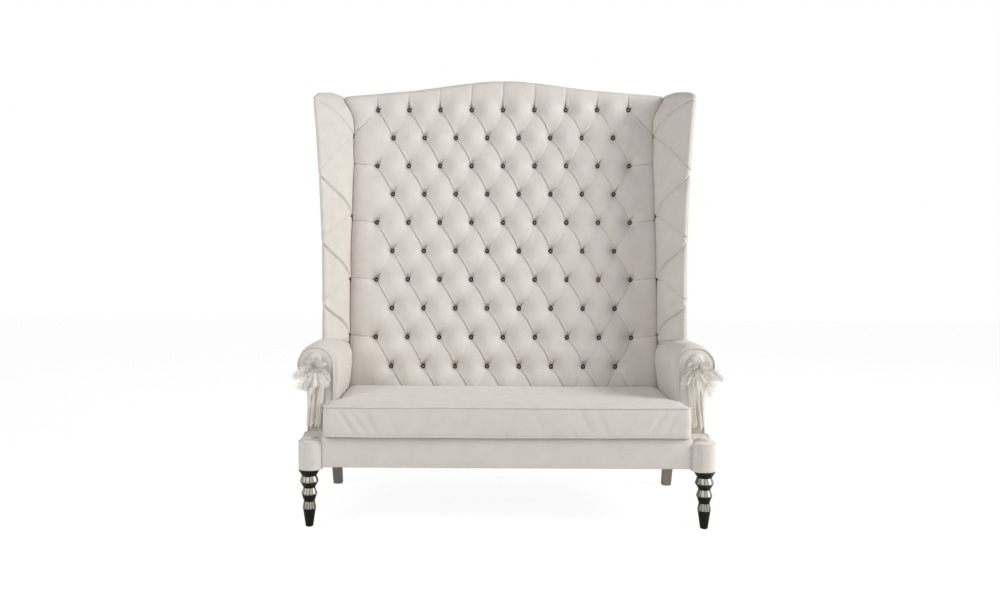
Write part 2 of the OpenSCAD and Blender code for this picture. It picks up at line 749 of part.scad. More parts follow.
// Seat cushion: a boxed cushion, a little wider in front of the arms
cushion_half = back_half;
corner_r = 24;
ear = 10;                         // how much wider it is in front of the arms
ear_y = arm_y - 2 * cover_t;
bulge = 3;                        // swell of the boxing between the pipings
draw_in = 4;                      // how far the long sides pull in
notch = 2 * piping_r + clear;     // the edge left free for a piping
cushion_z = deck_z + clear;
top_pipe_z = seat_h;
low_pipe_z = cushion_z + piping_r;

// Points of a level ring round the cushion, drawn in by c
function cushion_ring(c, z) =
    let (x = cushion_half - bulge - c, y0 = front_y + bulge + c,
         y1 = inner_y(z) - 2 * clear - bulge - c, r = max(corner_r - c, corner_r / 4),
         turns = [0:22.5:90],
         fronts = [for (k = [1:9]) k / 10],
         sides = [[y0 + 2 * r, ear], [ear_y - 4 * bulge, ear], [ear_y + 4 * bulge, 0],
                  [(ear_y + y1) / 2, 0], [y1 - 2 * r, 0]],
         fx = x + ear)
    concat(
        [for (s = fronts) [-(fx - r) + 2 * (fx - r) * s, y0 + draw_in * sin(180 * s), z]],
        [for (a = turns) [fx - r + r * sin(a), y0 + r - r * cos(a), z]],
        [for (s = sides) [x + s[1], s[0], z]],
        [for (a = turns) [x - r + r * cos(a), y1 - r + r * sin(a), z]],
        [for (s = fronts) [(x - r) - 2 * (x - r) * s, y1 - draw_in * sin(180 * s), z]],
        [for (a = turns) [-(x - r) - r * sin(a), y1 - r + r * cos(a), z]],
        [for (k = [4:-1:0]) [-(x + sides[k][1]), sides[k][0], z]],
        [for (a = turns) [-(fx - r) - r * cos(a), y0 + r - r * sin(a), z]]);

crown_shares = [[0.12, 0.55], [0.3, 0.8], [0.55, 0.94], [0.85, 1]];
module cushion_solid() {
    high = top_pipe_z - low_pipe_z;
    reach = (inner_y(seat_h) - front_y) / 2;
    rings = concat(
        [cushion_ring(notch, cushion_z), cushion_ring(notch, low_pipe_z + piping_r + clear),
         cushion_ring(0, low_pipe_z + piping_r + clear),
         cushion_ring(-bulge, low_pipe_z + high / 2),
         cushion_ring(0, top_pipe_z - piping_r - clear),
         cushion_ring(notch, top_pipe_z - piping_r - clear),
         cushion_ring(notch, top_pipe_z + piping_r / 2)],
        [for (s = crown_shares) cushion_ring(notch + s[0] * (reach - notch - 2 * bulge),
            top_pipe_z + piping_r / 2 + (cushion_crown - piping_r / 2) * s[1])]);
    mid_y = front_y + reach;
    loft(rings, [0, mid_y, cushion_z], [0, mid_y, top_pipe_z + cushion_crown]);
}

// The foam core, grown by a margin for its pocket
core_in = 35;
core_up = 14;
module foam_core(margin) {
    block([-cushion_half + core_in - margin, front_y + core_in - margin, cushion_z + core_up - margin],
          [cushion_half - core_in + margin, inner_y(cushion_z) - core_in + margin,
           top_pipe_z - core_up + margin]);
}

// The cover's pocket opens through the zip in the rear boxing
zip_h = 4;
zip_share = 0.7;
module seat_cushion_cover() {
    zip_z = (cushion_z + seat_h) / 2;
    color("#DCD7CE") difference() {
        cushion_solid();
        foam_core(clear);
        block([-cushion_half * zip_share, 0, zip_z],
              [cushion_half * zip_share, overall_d, zip_z + zip_h]);
    }
}

module seat_cushion_core() {
    color("#E9E2C4") foam_core(0);
}

// A closed six-sided tube along the cushion's edge at a height
module cushion_piping(z) {
    turns = 6;
    rings = [for (t = [0:turns - 1]) let (a = t * 360 / turns)
        cushion_ring(piping_r * (1 - cos(a)), z + piping_r * sin(a))];
    n = len(rings[0]);
    faces = [for (i = [0:turns - 1], j = [0:n - 1])
        let (a = i * n + j, b = i * n + (j + 1) % n,
             c = (i + 1) % turns * n + j, d = (i + 1) % turns * n + (j + 1) % n)
        each [[a, c, b], [b, c, d]]];
    color("#D0CAC0") polyhedron([for (r = rings) each r], faces);
}

// Tassels: a loop on a hook, a rosette of feathers and silk ribbons below it
hook_z = facing_z + 32;
hook_r = 2.5;
hook_l = 16;
hook_head = 3;
loop_r = 1.6;
loop_y = arm_y - hook_l / 2;
loop_ring = hook_r + clear + loop_r;
knot_z = facing_z - 8;
knot_r = 11;
rosette_y = arm_y - hook_l - 2 * hook_head;
rosette_t = 30;
rosette_w = 62;                   // radius across
rosette_h = 54;                   // radius upwards
feathers = 14;
ribbon_t = 1.2;
ribbon_w = 9;
ribbon_end = block_top + cap_h + 8 * over;
ribbon_shares = [[-1, 0.93], [-0.62, 1], [-0.25, 0.9], [0.2, 0.98], [0.62, 0.92], [1, 0.99]];
ribbon_spread = 25;

module tassel_hooks() {
    color("#4A453F") both_sides() translate([facing_x, arm_y, hook_z]) rotate([90, 0, 0]) {
        cylinder(r = hook_r, h = hook_l);
        translate([0, 0, hook_l]) cylinder(r = 2 * hook_r, h = hook_head);
    }
}

// Flat ribbons fan out from the knot, each with a pointed end
module tassel_ribbons(side) {
    drop = knot_z - ribbon_end;
    cord_r = loop_r / 2;
    knot_l = loop_y + loop_r - rosette_y;
    color("#B3A99C") at_side(side) translate([facing_x, 0, 0]) {
        translate([0, loop_y, hook_z]) rotate([90, 0, 0]) rotate_extrude($fn = round_fn / 2)
            translate([loop_ring, 0]) circle(r = loop_r, $fn = round_fn / 4);
        block([-cord_r, loop_y - cord_r, knot_z], [cord_r, loop_y + cord_r, hook_z - loop_ring]);
        translate([0, loop_y + loop_r, knot_z]) rotate([90, 0, 0])
            cylinder(r = knot_r, h = knot_l, $fn = round_fn / 2);
        translate([0, loop_y + ribbon_t / 2, knot_z]) upright(ribbon_t)
            for (s = ribbon_shares)
                let (l = drop * s[1], dx = ribbon_spread * s[0], w = ribbon_w / 2)
                polygon([[-w + dx / 4, 0], [-w + dx, -l / 2], [-w + dx, -l + 2 * w], [dx, -l],
                    [w + dx, -l + 2 * w], [w + dx, -l / 2], [w + dx / 4, 0]]);
    }
}

// The rosette: a scalloped outline of feathers, thickest in the middle
module feather_rosette(side) {
    steps = 4;
    layers = [[1, 0.45], [0.72, 0.75], [0.4, 1]];
    color("#EAE6DE") at_side(side) translate([facing_x, rosette_y, knot_z])
        for (l = layers) upright(rosette_t * l[1]) polygon([for (k = [0:feathers * steps - 1])
            let (a = 360 * k / (feathers * steps), r = 1 - (1 - abs(sin(feathers * a / 2))) / steps)
            l[0] * r * [rosette_w * cos(a), rosette_h * sin(a)]]);
}

front_leg(-1);  // front_leg_left
front_leg(1);  // front_leg_right
rear_leg(-1);  // rear_leg_left
rear_leg(1);  // rear_leg_right
leg_glides();
leg_bolts();
leg_inserts();
front_post(-1);  // front_post_left
front_post(1);  // front_post_right
rear_post(-1);  // rear_post_left
rear_post(1);  // rear_post_right
front_rail();
rear_rail();
side_rail(-1);  // side_rail_left
side_rail(1);  // side_rail_right
seat_stretchers();
corner_braces();
seat_springs();
spring_clips();
deck_cloth();
deck_pad();
dust_cover();
block_cover(-1);  // block_cover_left
block_cover(1);  // block_cover_right
block_cap(-1);  // block_cap_left
block_cap(1);  // block_cap_right
front_border();
arm_frame(-1);  // arm_frame_left
arm_frame(1);  // arm_frame_right
arm_pad(-1);  // arm_pad_left
arm_pad(1);  // arm_pad_right
arm_facing(-1);  // arm_facing_left
arm_facing(1);  // arm_facing_right
facing_welts();
outside_arm(-1);  // outside_arm_left
outside_arm(1);  // outside_arm_right
back_stiles();
back_rails();
crest_rail();
back_webbing();
outside_back();
tufted_back_pad();
back_buttons();
wing_frame(-1);  // wing_frame_left
wing_frame(1);  // wing_frame_right
wing_pad(-1);  // wing_pad_left
wing_pad(1);  // wing_pad_right
seat_cushion_cover();
seat_cushion_core();
cushion_piping(top_pipe_z);  // cushion_piping_top
cushion_piping(low_pipe_z);  // cushion_piping_bottom
tassel_hooks();
tassel_ribbons(-1);  // tassel_ribbons_left
tassel_ribbons(1);  // tassel_ribbons_right
feather_rosette(-1);  // feather_rosette_left
feather_rosette(1);  // feather_rosette_right
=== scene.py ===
import json
import math
import bmesh
import bpy
import numpy as np
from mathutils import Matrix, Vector


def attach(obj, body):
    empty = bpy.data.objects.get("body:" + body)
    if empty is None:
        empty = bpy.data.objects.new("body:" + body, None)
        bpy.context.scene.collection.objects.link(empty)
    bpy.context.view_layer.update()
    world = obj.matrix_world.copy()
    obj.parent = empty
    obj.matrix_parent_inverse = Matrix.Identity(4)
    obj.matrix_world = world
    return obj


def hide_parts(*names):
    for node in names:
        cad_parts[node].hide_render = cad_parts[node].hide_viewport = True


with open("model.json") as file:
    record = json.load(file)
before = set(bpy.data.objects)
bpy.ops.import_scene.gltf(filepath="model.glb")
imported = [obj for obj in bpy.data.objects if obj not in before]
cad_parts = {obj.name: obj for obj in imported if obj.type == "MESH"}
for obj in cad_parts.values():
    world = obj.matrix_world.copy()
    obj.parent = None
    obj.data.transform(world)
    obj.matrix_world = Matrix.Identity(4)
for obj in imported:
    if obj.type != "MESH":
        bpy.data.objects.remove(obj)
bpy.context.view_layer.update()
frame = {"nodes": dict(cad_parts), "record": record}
print("frame loaded")

# shared sizes, in metres, as the frame has them
settee = {
    "backHalf": 0.676, "panelHalf": 0.747, "crestHalf": 0.7023, "crestZ": 1.842, "crestRise": 0.069,
    "crestY": 0.3875, "backRake": 3.7, "seatRake": 6.0, "backThick": 0.131,
    "armY": -0.2185, "armX": 0.790, "rollX": 0.747, "rollZ": 0.612, "rollR": 0.086,
}


def innerY(z):  # the tufted face leans back by the seat rake
    lean = math.tan(math.radians(settee["seatRake"]))
    return settee["crestY"] - settee["backThick"] - (settee["crestZ"] - z) * lean


def outerY(z):  # the outside back leans by the smaller rake
    return settee["crestY"] - (settee["crestZ"] - z) * math.tan(math.radians(settee["backRake"]))


def crestAt(x):  # a smooth hump in the middle that runs on into straight shoulders
    humpX = settee["crestHalf"] * 0.595
    humpDrop = settee["crestRise"] * 0.638
    slope = (settee["crestRise"] - humpDrop) / (settee["crestHalf"] - humpX)
    t = np.minimum(np.abs(x) / humpX, 1)
    hump = humpDrop * t * t * (3 - 2 * t) + slope * humpX * t * t * (t - 1)
    return settee["crestZ"] - np.where(np.abs(x) >= humpX, humpDrop + slope * (np.abs(x) - humpX), hump)


# small tools
def linear(hexColour):  # sRGB hex to linear light, by the sRGB curve
    part = [int(hexColour[i:i + 2], 16) / 255 for i in (1, 3, 5)]
    return [c / 12.92 if c <= 0.04045 else ((c + 0.055) / 1.055) ** 2.4 for c in part] + [1.0]


def bell(value, width):  # 1 at 0 and falling away on both sides: e to the power of minus the square
    return np.exp(-(value / width) ** 2)


def coords(*parts):  # arrays and single numbers side by side, as the coordinates of points
    return np.stack(np.broadcast_arrays(*parts), -1)


def onCircle(x, y, radius, turn):  # points in a plane, at their angles round a centre
    return coords(x + radius * np.cos(turn), y + radius * np.sin(turn))


def atDepth(line, y):  # a line drawn in x and z, set at its depth
    return coords(line[:, 0], y, line[:, 1])


def atHeight(line, z):  # a line drawn in x and y, set at its height
    return coords(line[:, 0], line[:, 1], z)


def angles(first, last, count):  # evenly spaced, from degrees
    return np.radians(np.linspace(first, last, count))


def fullTurn(count):  # angles all the way round
    return np.linspace(0, 2 * math.pi, count, endpoint=False)


def unit(vectors):  # the same directions at length 1
    return vectors / np.maximum(np.linalg.norm(vectors, axis=-1, keepdims=True), 1e-12)


def readPoints(mesh):
    # the mesh's points as rows of x, y and z
    flat = np.empty(len(mesh.vertices) * 3, np.float32)
    mesh.vertices.foreach_get("co", flat)
    return flat.reshape(-1, 3)


def addNode(tree, kind, settings=None, links=None):  # one node with its settings and what feeds it
    made = tree.nodes.new("ShaderNode" + kind)
    for key, value in (settings or {}).items():
        if isinstance(key, int) or key in made.inputs:
            made.inputs[key].default_value = value
        else:
            setattr(made, key, value)
    for key, source in (links or {}).items():
        tree.links.new(source, made.inputs[key])
    return made


def newMaterial(name):
    # a material with an empty node tree
    made = bpy.data.materials.new(name)
    made.use_nodes = True
    made.node_tree.nodes.clear()
    return made, made.node_tree


def smooth(edge0, edge1, value):  # 0 below edge0, 1 above edge1, an S-curve between
    t = np.clip((value - edge0) / (edge1 - edge0), 0, 1)
    return t * t * (3 - 2 * t)


def softNoise(a, b, seed, count=5):  # a few sine waves in mixed directions, about -1 to 1
    rng = np.random.default_rng(seed)
    total = 0
    for _ in range(count):
        turn, phase, pace = rng.uniform(0, 6.28), rng.uniform(0, 6.28), rng.uniform(0.6, 1.7)
        total = total + np.sin((a * math.cos(turn) + b * math.sin(turn)) * pace + phase)
    return total / math.sqrt(count)


def makeMesh(name, points, faces, material=None, shadeSmooth=True):
    # points and faces as they are given, with all faces smooth or all flat
    mesh = bpy.data.meshes.new(name)
    points = np.asarray(points, dtype=np.float32).reshape(-1, 3)
    mesh.vertices.add(len(points))
    mesh.vertices.foreach_set("co", points.ravel())
    sizes = np.concatenate([np.full(len(f), f.shape[1]) for f in faces])
    loops = np.concatenate([f.ravel() for f in faces])
    mesh.loops.add(len(loops))
    mesh.loops.foreach_set("vertex_index", loops.astype(np.int32))
    mesh.polygons.add(len(sizes))
    mesh.polygons.foreach_set("loop_start", np.concatenate([[0], np.cumsum(sizes)[:-1]]).astype(np.int32))
    mesh.polygons.foreach_set("use_smooth", np.full(len(sizes), shadeSmooth))
    mesh.update(calc_edges=True)
    mesh.validate()
    made = bpy.data.objects.new(name, mesh)
    bpy.context.collection.objects.link(made)
    if material:
        mesh.materials.append(material)
    return made


def gridFaces(rows, columns, closeRows=False, closeColumns=False, start=0):  # quads of a grid, row by row
    r = np.arange(rows if closeRows else rows - 1)
    c = np.arange(columns if closeColumns else columns - 1)
    r, c = np.meshgrid(r, c, indexing="ij")
    r1, c1 = (r + 1) % rows, (c + 1) % columns
    corners = coords(r * columns + c, r * columns + c1, r1 * columns + c1, r1 * columns + c)
    return corners.reshape(-1, 4) + start


def fanFaces(ring, centre, turn=False):  # triangles from a ring of points to one point
    ring = np.asarray(ring)
    after = np.roll(ring, -1)
    tip = np.full(len(ring), centre)
    return np.stack([after, ring, tip] if turn else [ring, after, tip], -1)


def faceOut(made):  # turns the faces of a closed mesh outwards
    work = bmesh.new()
    work.from_mesh(made.data)
    bmesh.ops.recalc_face_normals(work, faces=work.faces)
    work.to_mesh(made.data)
    work.free()
    return made


def gridNormals(points):  # unit normals of a grid of points, from the cross product of its two directions
    return unit(np.cross(np.gradient(points, axis=0), np.gradient(points, axis=1)))


def closedTube(name, rings, material, closed=False, strip=False):
    # rings of points joined in order, with fans over both ends
    count, around = rings.shape[:2]
    faces = [gridFaces(count, around, closeRows=closed, closeColumns=True)]
    points = rings.reshape(-1, 3)
    if strip:  # thin ends: each point is joined to the one across from it
        for at, turned in ((0, True), ((count - 1) * around, False)):
            k = np.arange(around // 2 - 1)
            quad = coords(k, k + 1, around - 2 - k, around - 1 - k) + at
            faces.append(quad[:, ::-1] if turned else quad)
    elif not closed:
        ends = np.stack([rings[0].mean(0), rings[-1].mean(0)])
        points = np.concatenate([points, ends])
        faces.append(fanFaces(np.arange(around), count * around, turn=True))
        faces.append(fanFaces(np.arange(around) + (count - 1) * around, count * around + 1))
    return faceOut(makeMesh(name, points, faces, material))


def sweep(path, radius, around=10, closed=False):  # circles carried along a path, square to its direction
    path = np.asarray(path, float)
    ahead = unit(np.roll(path, -1, 0) - np.roll(path, 1, 0) if closed else np.gradient(path, axis=0))
    side = np.zeros_like(path)
    side[0] = np.cross(ahead[0], [0.31, 0.22, 0.92])
    side[0] /= np.linalg.norm(side[0])
    for k in range(1, len(path)):  # the side direction is carried along, so the tube doesn't twist
        s = side[k - 1] - ahead[k] * np.dot(side[k - 1], ahead[k])
        side[k] = s / np.linalg.norm(s)
    up = np.cross(ahead, side)
    turn = fullTurn(around)[None, :, None]
    radius = np.broadcast_to(np.asarray(radius, float), (len(path),))[:, None, None]
    return path[:, None] + radius * (np.cos(turn) * side[:, None] + np.sin(turn) * up[:, None])


def merged(name, objects, material=None):  # several meshes as one object
    points, faces, start = [], [], 0
    for part in objects:
        mesh = part.data
        points.append(readPoints(mesh))
        total = np.empty(len(mesh.polygons), np.int32)
        mesh.polygons.foreach_get("loop_total", total)
        index = np.empty(len(mesh.loops), np.int32)
        mesh.loops.foreach_get("vertex_index", index)
        where = np.concatenate([[0], np.cumsum(total)[:-1]])
        for size in np.unique(total):
            rows = where[total == size][:, None] + np.arange(size)
            faces.append(index[rows] + start)
        start += len(mesh.vertices)
        bpy.data.objects.remove(part)
    return makeMesh(name, np.concatenate(points), faces, material)


def mirrored(points, flip=True):  # a left piece is the right one, mirrored
    return points * np.array([-1.0 if flip else 1.0, 1.0, 1.0])


def finishPiece(piece, replaces=(), body="settee_frame"):
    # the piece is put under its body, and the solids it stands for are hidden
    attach(piece, body)
    if replaces:
        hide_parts(*replaces)
    return piece


# materials; grain, soft, size and thread are real sizes in millimetres
def napFabric(name, tones, grain=1.1, soft=55):
    # microfibre upholstery, a brushed nap: very matt, soft sheen, faint shading where the nap lies another way
    # the colour is a blend of two tones by slow noise, a little darkened by the fine noise of the grain
    made, tree = newMaterial(name)
    place = addNode(tree, "TexCoord").outputs["Object"]
    drift = addNode(tree, "TexNoise", {"Scale": 1000 / soft, "Detail": 3.0, "Roughness": 0.55},
                    {"Vector": place})
    tone = addNode(tree, "ValToRGB", {}, {"Fac": drift.outputs["Fac"]})
    for stop, at, colour in zip(tone.color_ramp.elements, (0.3, 0.7), tones):
        stop.position, stop.color = at, linear(colour)
    # the grain is drawn a little coarser than real, to show
    nap = addNode(tree, "TexNoise", {"Scale": 1000 / grain, "Detail": 2.0, "Roughness": 0.6}, {"Vector": place})
    shade = addNode(tree, "Mix", {"data_type": "RGBA", "blend_type": "MULTIPLY", 0: 0.1},
                    {6: tone.outputs["Color"], 7: nap.outputs["Color"]})
    rough = addNode(tree, "MapRange", {"To Min": 0.72, "To Max": 0.88}, {"Value": nap.outputs["Fac"]})
    slow = addNode(tree, "Bump", {"Strength": 0.25, "Distance": 0.0012}, {"Height": drift.outputs["Fac"]})
    fine = addNode(tree, "Bump", {"Strength": 0.12, "Distance": 0.0003},
                   {"Height": nap.outputs["Fac"], "Normal": slow.outputs["Normal"]})
    skin = addNode(tree, "BsdfPrincipled",
                   {"Sheen Weight": 0.18, "Sheen Roughness": 0.45, "Specular IOR Level": 0.3},
                   {"Base Color": shade.outputs[2], "Roughness": rough.outputs["Result"],
                    "Normal": fine.outputs["Normal"]})
    addNode(tree, "OutputMaterial", {}, {"Surface": skin.outputs["BSDF"]})
    return made


def hardFinish(name, tones, roughness, metallic=0.0, coat=0.0, size=20, bump=0.02, stretch=(1, 1, 1),
               gloss=0.5):
    # a hard surface: tones blended by slow noise along the stretch, and marks a sixth as wide in its gloss
    made, tree = newMaterial(name)
    place = addNode(tree, "TexCoord").outputs["Object"]
    lay = addNode(tree, "Mapping", {"Scale": stretch}, {"Vector": place}).outputs["Vector"]
    drift = addNode(tree, "TexNoise", {"Scale": 1000 / size, "Detail": 4.0, "Roughness": 0.6}, {"Vector": lay})
    tone = addNode(tree, "ValToRGB", {}, {"Fac": drift.outputs["Fac"]})
    for stop, at, colour in zip(tone.color_ramp.elements, (0.35, 0.65), tones):
        stop.position, stop.color = at, linear(colour)
    marks = addNode(tree, "TexNoise", {"Scale": 6000 / size, "Detail": 3.0}, {"Vector": lay}).outputs["Fac"]
    rough = addNode(tree, "MapRange", {"To Min": roughness * 0.8, "To Max": min(roughness * 1.25, 1.0)},
                    {"Value": marks})
    ripple = addNode(tree, "Bump", {"Strength": bump, "Distance": 0.0006}, {"Height": marks})
    skin = addNode(tree, "BsdfPrincipled",
                   {"Metallic": metallic, "Coat Weight": coat, "Coat Roughness": 0.06,
                    "Specular IOR Level": gloss},
                   {"Base Color": tone.outputs["Color"], "Roughness": rough.outputs["Result"],
                    "Normal": ripple.outputs["Normal"]})
    addNode(tree, "OutputMaterial", {}, {"Surface": skin.outputs["BSDF"]})
    return made


def wovenCloth(name, tones, thread=2):
    # plain weave, matt: the product of upright and level waves, a thread apart
    made, tree = newMaterial(name)
    place = addNode(tree, "TexCoord").outputs["Object"]
    warp, weft = [addNode(tree, "TexWave",
                          {"wave_type": "BANDS", "bands_direction": way, "Scale": 300 / thread,
                           "Distortion": 0.6, "Detail": 1.0}, {"Vector": place}) for way in "XZ"]
    cross = addNode(tree, "Math", {"operation": "MULTIPLY"}, {0: warp.outputs["Fac"], 1: weft.outputs["Fac"]})
    cross = cross.outputs["Value"]
    tone = addNode(tree, "Mix", {"data_type": "RGBA", 6: linear(tones[0]), 7: linear(tones[1])}, {0: cross})
    ripple = addNode(tree, "Bump", {"Strength": 0.3, "Distance": 0.0005}, {"Height": cross})
    skin = addNode(tree, "BsdfPrincipled", {"Roughness": 0.9, "Sheen Weight": 0.1},
                   {"Base Color": tone.outputs[2], "Normal": ripple.outputs["Normal"]})
    addNode(tree, "OutputMaterial", {}, {"Surface": skin.outputs["BSDF"]})
    return made


# brushed covers: warm off-white, nearly without gloss
ivoryNap = napFabric("ivory microfibre", ("#DBD5CE", "#E2DCD5"))
ivoryWelt = napFabric("ivory microfibre welt", ("#D8D2CB", "#E0DAD3"), soft=20)
foamSkin = napFabric("polyether foam", ("#D9CDA6", "#E2D8B6"), grain=1.6, soft=20)
# silk shines softly along its length, and feather is dull and paler
silkRibbon = hardFinish("ivory silk ribbon", ("#D8D2C7", "#EBE6DC"), 0.42, size=12, bump=0.1,
                         stretch=(1, 1, 0.2))
featherVane = hardFinish("bleached feather", ("#E8E3DB", "#F4F0E9"), 0.75, size=20, bump=0.05)
# lacquer is nearly black with small sharp lights, leaf is ribbed silver, and paint hides most of the grain
blackLacquer = hardFinish("black gloss lacquer on turned beech", ("#030303", "#070606"), 0.32, coat=0.12,
                          size=50, gloss=0.18)
silverLeaf = hardFinish("brushed silver leaf", ("#8B857D", "#B4AFA7"), 0.34, metallic=1.0, size=6, bump=0.1,
                        stretch=(1, 1, 0.15))
taupePaint = hardFinish("taupe satin paint on beech", ("#8A827A", "#989087"), 0.42, size=80, bump=0.06,
                        stretch=(4, 4, 0.5))
beechWood = hardFinish("planed beech", ("#B98F62", "#CFA678"), 0.6, size=50, bump=0.1, stretch=(1, 6, 6))
# button metals are dark at the rim, and the lighter nickel in the middle is a painted highlight; fasteners are
# plain grey
darkNickel = hardFinish("dark nickel", ("#3A3632", "#4A4540"), 0.2, metallic=1.0, size=10)
highlightNickel = hardFinish("nickel lightened as painted highlight", ("#77716A", "#88827A"), 0.30, metallic=1.0, size=10)
zincSteel = hardFinish("zinc plated steel", ("#A9ABAC", "#BDBFC0"), 0.35, metallic=1.0, size=10)
springSteel = hardFinish("drawn spring steel", ("#6E6F71", "#86878A"), 0.4, metallic=1.0, size=10)
nylonGlide = hardFinish("moulded nylon", ("#2A2A2B", "#343436"), 0.5, size=10)
# the weaves show their threads close by and are matt from afar
juteWeb = wovenCloth("jute webbing", ("#8E7550", "#B79B70"), 3)
blackCambric = wovenCloth("black cambric", ("#17171A", "#2B2B2F"), 2)
finishFor = {
    "ivory_fabric": ivoryNap, "black_lacquer": blackLacquer, "taupe_paint": taupePaint,
    "nylon_glide": nylonGlide, "zinc_steel": zincSteel, "spring_wire": springSteel,
    "frame_beech": beechWood, "jute": juteWeb,
    "black_cambric": blackCambric, "foam": foamSkin, "dark_nickel": darkNickel, "silk_ribbon": silkRibbon,
    "feather": featherVane,
}
print("materials made")

# the frame's own pieces that stay visible take their real finishes
for entry in frame["record"]["subparts"]:
    node = frame["nodes"].get(entry["node"])
    if node:
        node.data.materials.clear()
        node.data.materials.append(finishFor[entry["material_slot"]])

# camera and studio
studio = {
    "cameraAt": (-0.1017, -3.5591, 0.9753), "yaw": 0.866, "pitch": -1.816, "roll": 0.112,
    "lens": 30.36, "shiftX": 0.0326,
    "ambient": 0.30, "aim": (0, 0, 0.95), "floorHalf": 14,
    # place, size and power of each lamp
    "lamps": {"key lamp": ((4.6, -1.5, 2.7), 2.0, 215.0), "fill lamp": ((-2.5, -2.2, 2.2), 1.8, 46.0),
              "front lamp": ((0.0, -5.0, 2.4), 3.5, 8.0)},
}
cameraData = bpy.data.cameras.new("camera")
cameraData.lens, cameraData.sensor_width, cameraData.sensor_fit = studio["lens"], 36.0, "HORIZONTAL"
cameraData.shift_x = studio["shiftX"]
cameraData.clip_start, cameraData.clip_end = 0.1, 60
camera = bpy.data.objects.new("camera", cameraData)
bpy.context.collection.objects.link(camera)
camera.location = studio["cameraAt"]
camera.rotation_mode = "XYZ"
camera.rotation_euler = [math.radians(turn) for turn in (90 + studio["pitch"], -studio["roll"], studio["yaw"])]
bpy.context.scene.camera = camera
bpy.context.scene.view_settings.view_transform = "Standard"


def areaLamp(name, place, size, power):
    # a round lamp that faces the middle of the settee
    data = bpy.data.lights.new(name, "AREA")
    data.shape, data.size, data.energy = "DISK", size, power
    made = bpy.data.objects.new(name, data)
    bpy.context.collection.objects.link(made)
    made.location = place
    made.rotation_euler = (Vector(studio["aim"]) - Vector(place)).to_track_quat("-Z", "Y").to_euler()


for name, settings in studio["lamps"].items():
    areaLamp(name, *settings)

world = bpy.data.worlds.new("studio")
bpy.context.scene.world = world
world.use_nodes = True
sky = world.node_tree
sky.nodes.clear()
rays = addNode(sky, "LightPath")
seen = addNode(sky, "Math", {"operation": "MAXIMUM"},
               {0: rays.outputs["Is Camera Ray"], 1: rays.outputs["Is Glossy Ray"]})
seen = addNode(sky, "Math", {"operation": "MAXIMUM"},
               {0: seen.outputs["Value"], 1: rays.outputs["Is Transmission Ray"]})
dim = addNode(sky, "Background", {"Color": linear("#F4F5F6"), "Strength": studio["ambient"]})
bright = addNode(sky, "Background", {"Color": (1, 1, 1, 1), "Strength": 1.0})
pick = addNode(sky, "MixShader", {},
               {0: seen.outputs["Value"], 1: dim.outputs["Background"], 2: bright.outputs["Background"]})
addNode(sky, "OutputWorld", {}, {"Surface": pick.outputs["Shader"]})

floorFinish, tree = newMaterial("pale studio floor")
rays = addNode(tree, "LightPath")
seen = addNode(tree, "Math", {"operation": "MULTIPLY", 1: 0.8}, {0: rays.outputs["Is Camera Ray"]})
paper = addNode(tree, "BsdfDiffuse", {"Color": linear("#F3F2EF")})
glow = addNode(tree, "Emission", {"Color": (1, 1, 1, 1), "Strength": 1.16})
pick = addNode(tree, "MixShader", {},
               {0: seen.outputs["Value"], 1: paper.outputs["BSDF"], 2: glow.outputs["Emission"]})
addNode(tree, "OutputMaterial", {}, {"Surface": pick.outputs["Shader"]})
side = np.linspace(-studio["floorHalf"], studio["floorHalf"], 3)
makeMesh("studio_floor", coords(side[:, None], side, 0.0), [gridFaces(3, 3)], floorFinish)
print("camera and studio ready")


# the tufted back
back = {
    "stepX": 0.141, "stepZ": 0.1274, "topZ": 1.711, "rows": 10, "outer": 4, "deep": 0.039,
    "lowZ": 0.3503, "bow": 0.007, "pleat": 0.0075, "faint": 0.0036, "crestRound": 0.027,
    "edgeBack": 0.0136, "wrinkle": 0.0078, "webbingIn": 0.0535, "middleZ": 1.1,
    "pleatGap": 0.1234,  # from pleat to pleat, square to them
}


def innerEdge(z):  # where back and wing meet: straight, turning outwards below the top
    return settee["backHalf"] + 0.0004 - 0.007 * smooth(1.0, 1.5, z) + 0.052 * smooth(1.63, 1.775, z) ** 1.5


def backEdge(z):  # half width of the tufted face, beside the wings
    return innerEdge(z) - 0.0006


def buttonPlaces():
    # rows a step apart, every other row moved sideways by half a step
    places = []
    for r in range(back["rows"]):
        offset = 0 if r % 2 == 0 else 0.5
        for k in range(-back["outer"], back["outer"] + (1 if r % 2 == 0 else 0)):
            places.append(((k + offset) * back["stepX"], back["topZ"] - r * back["stepZ"]))
    return np.array(places)


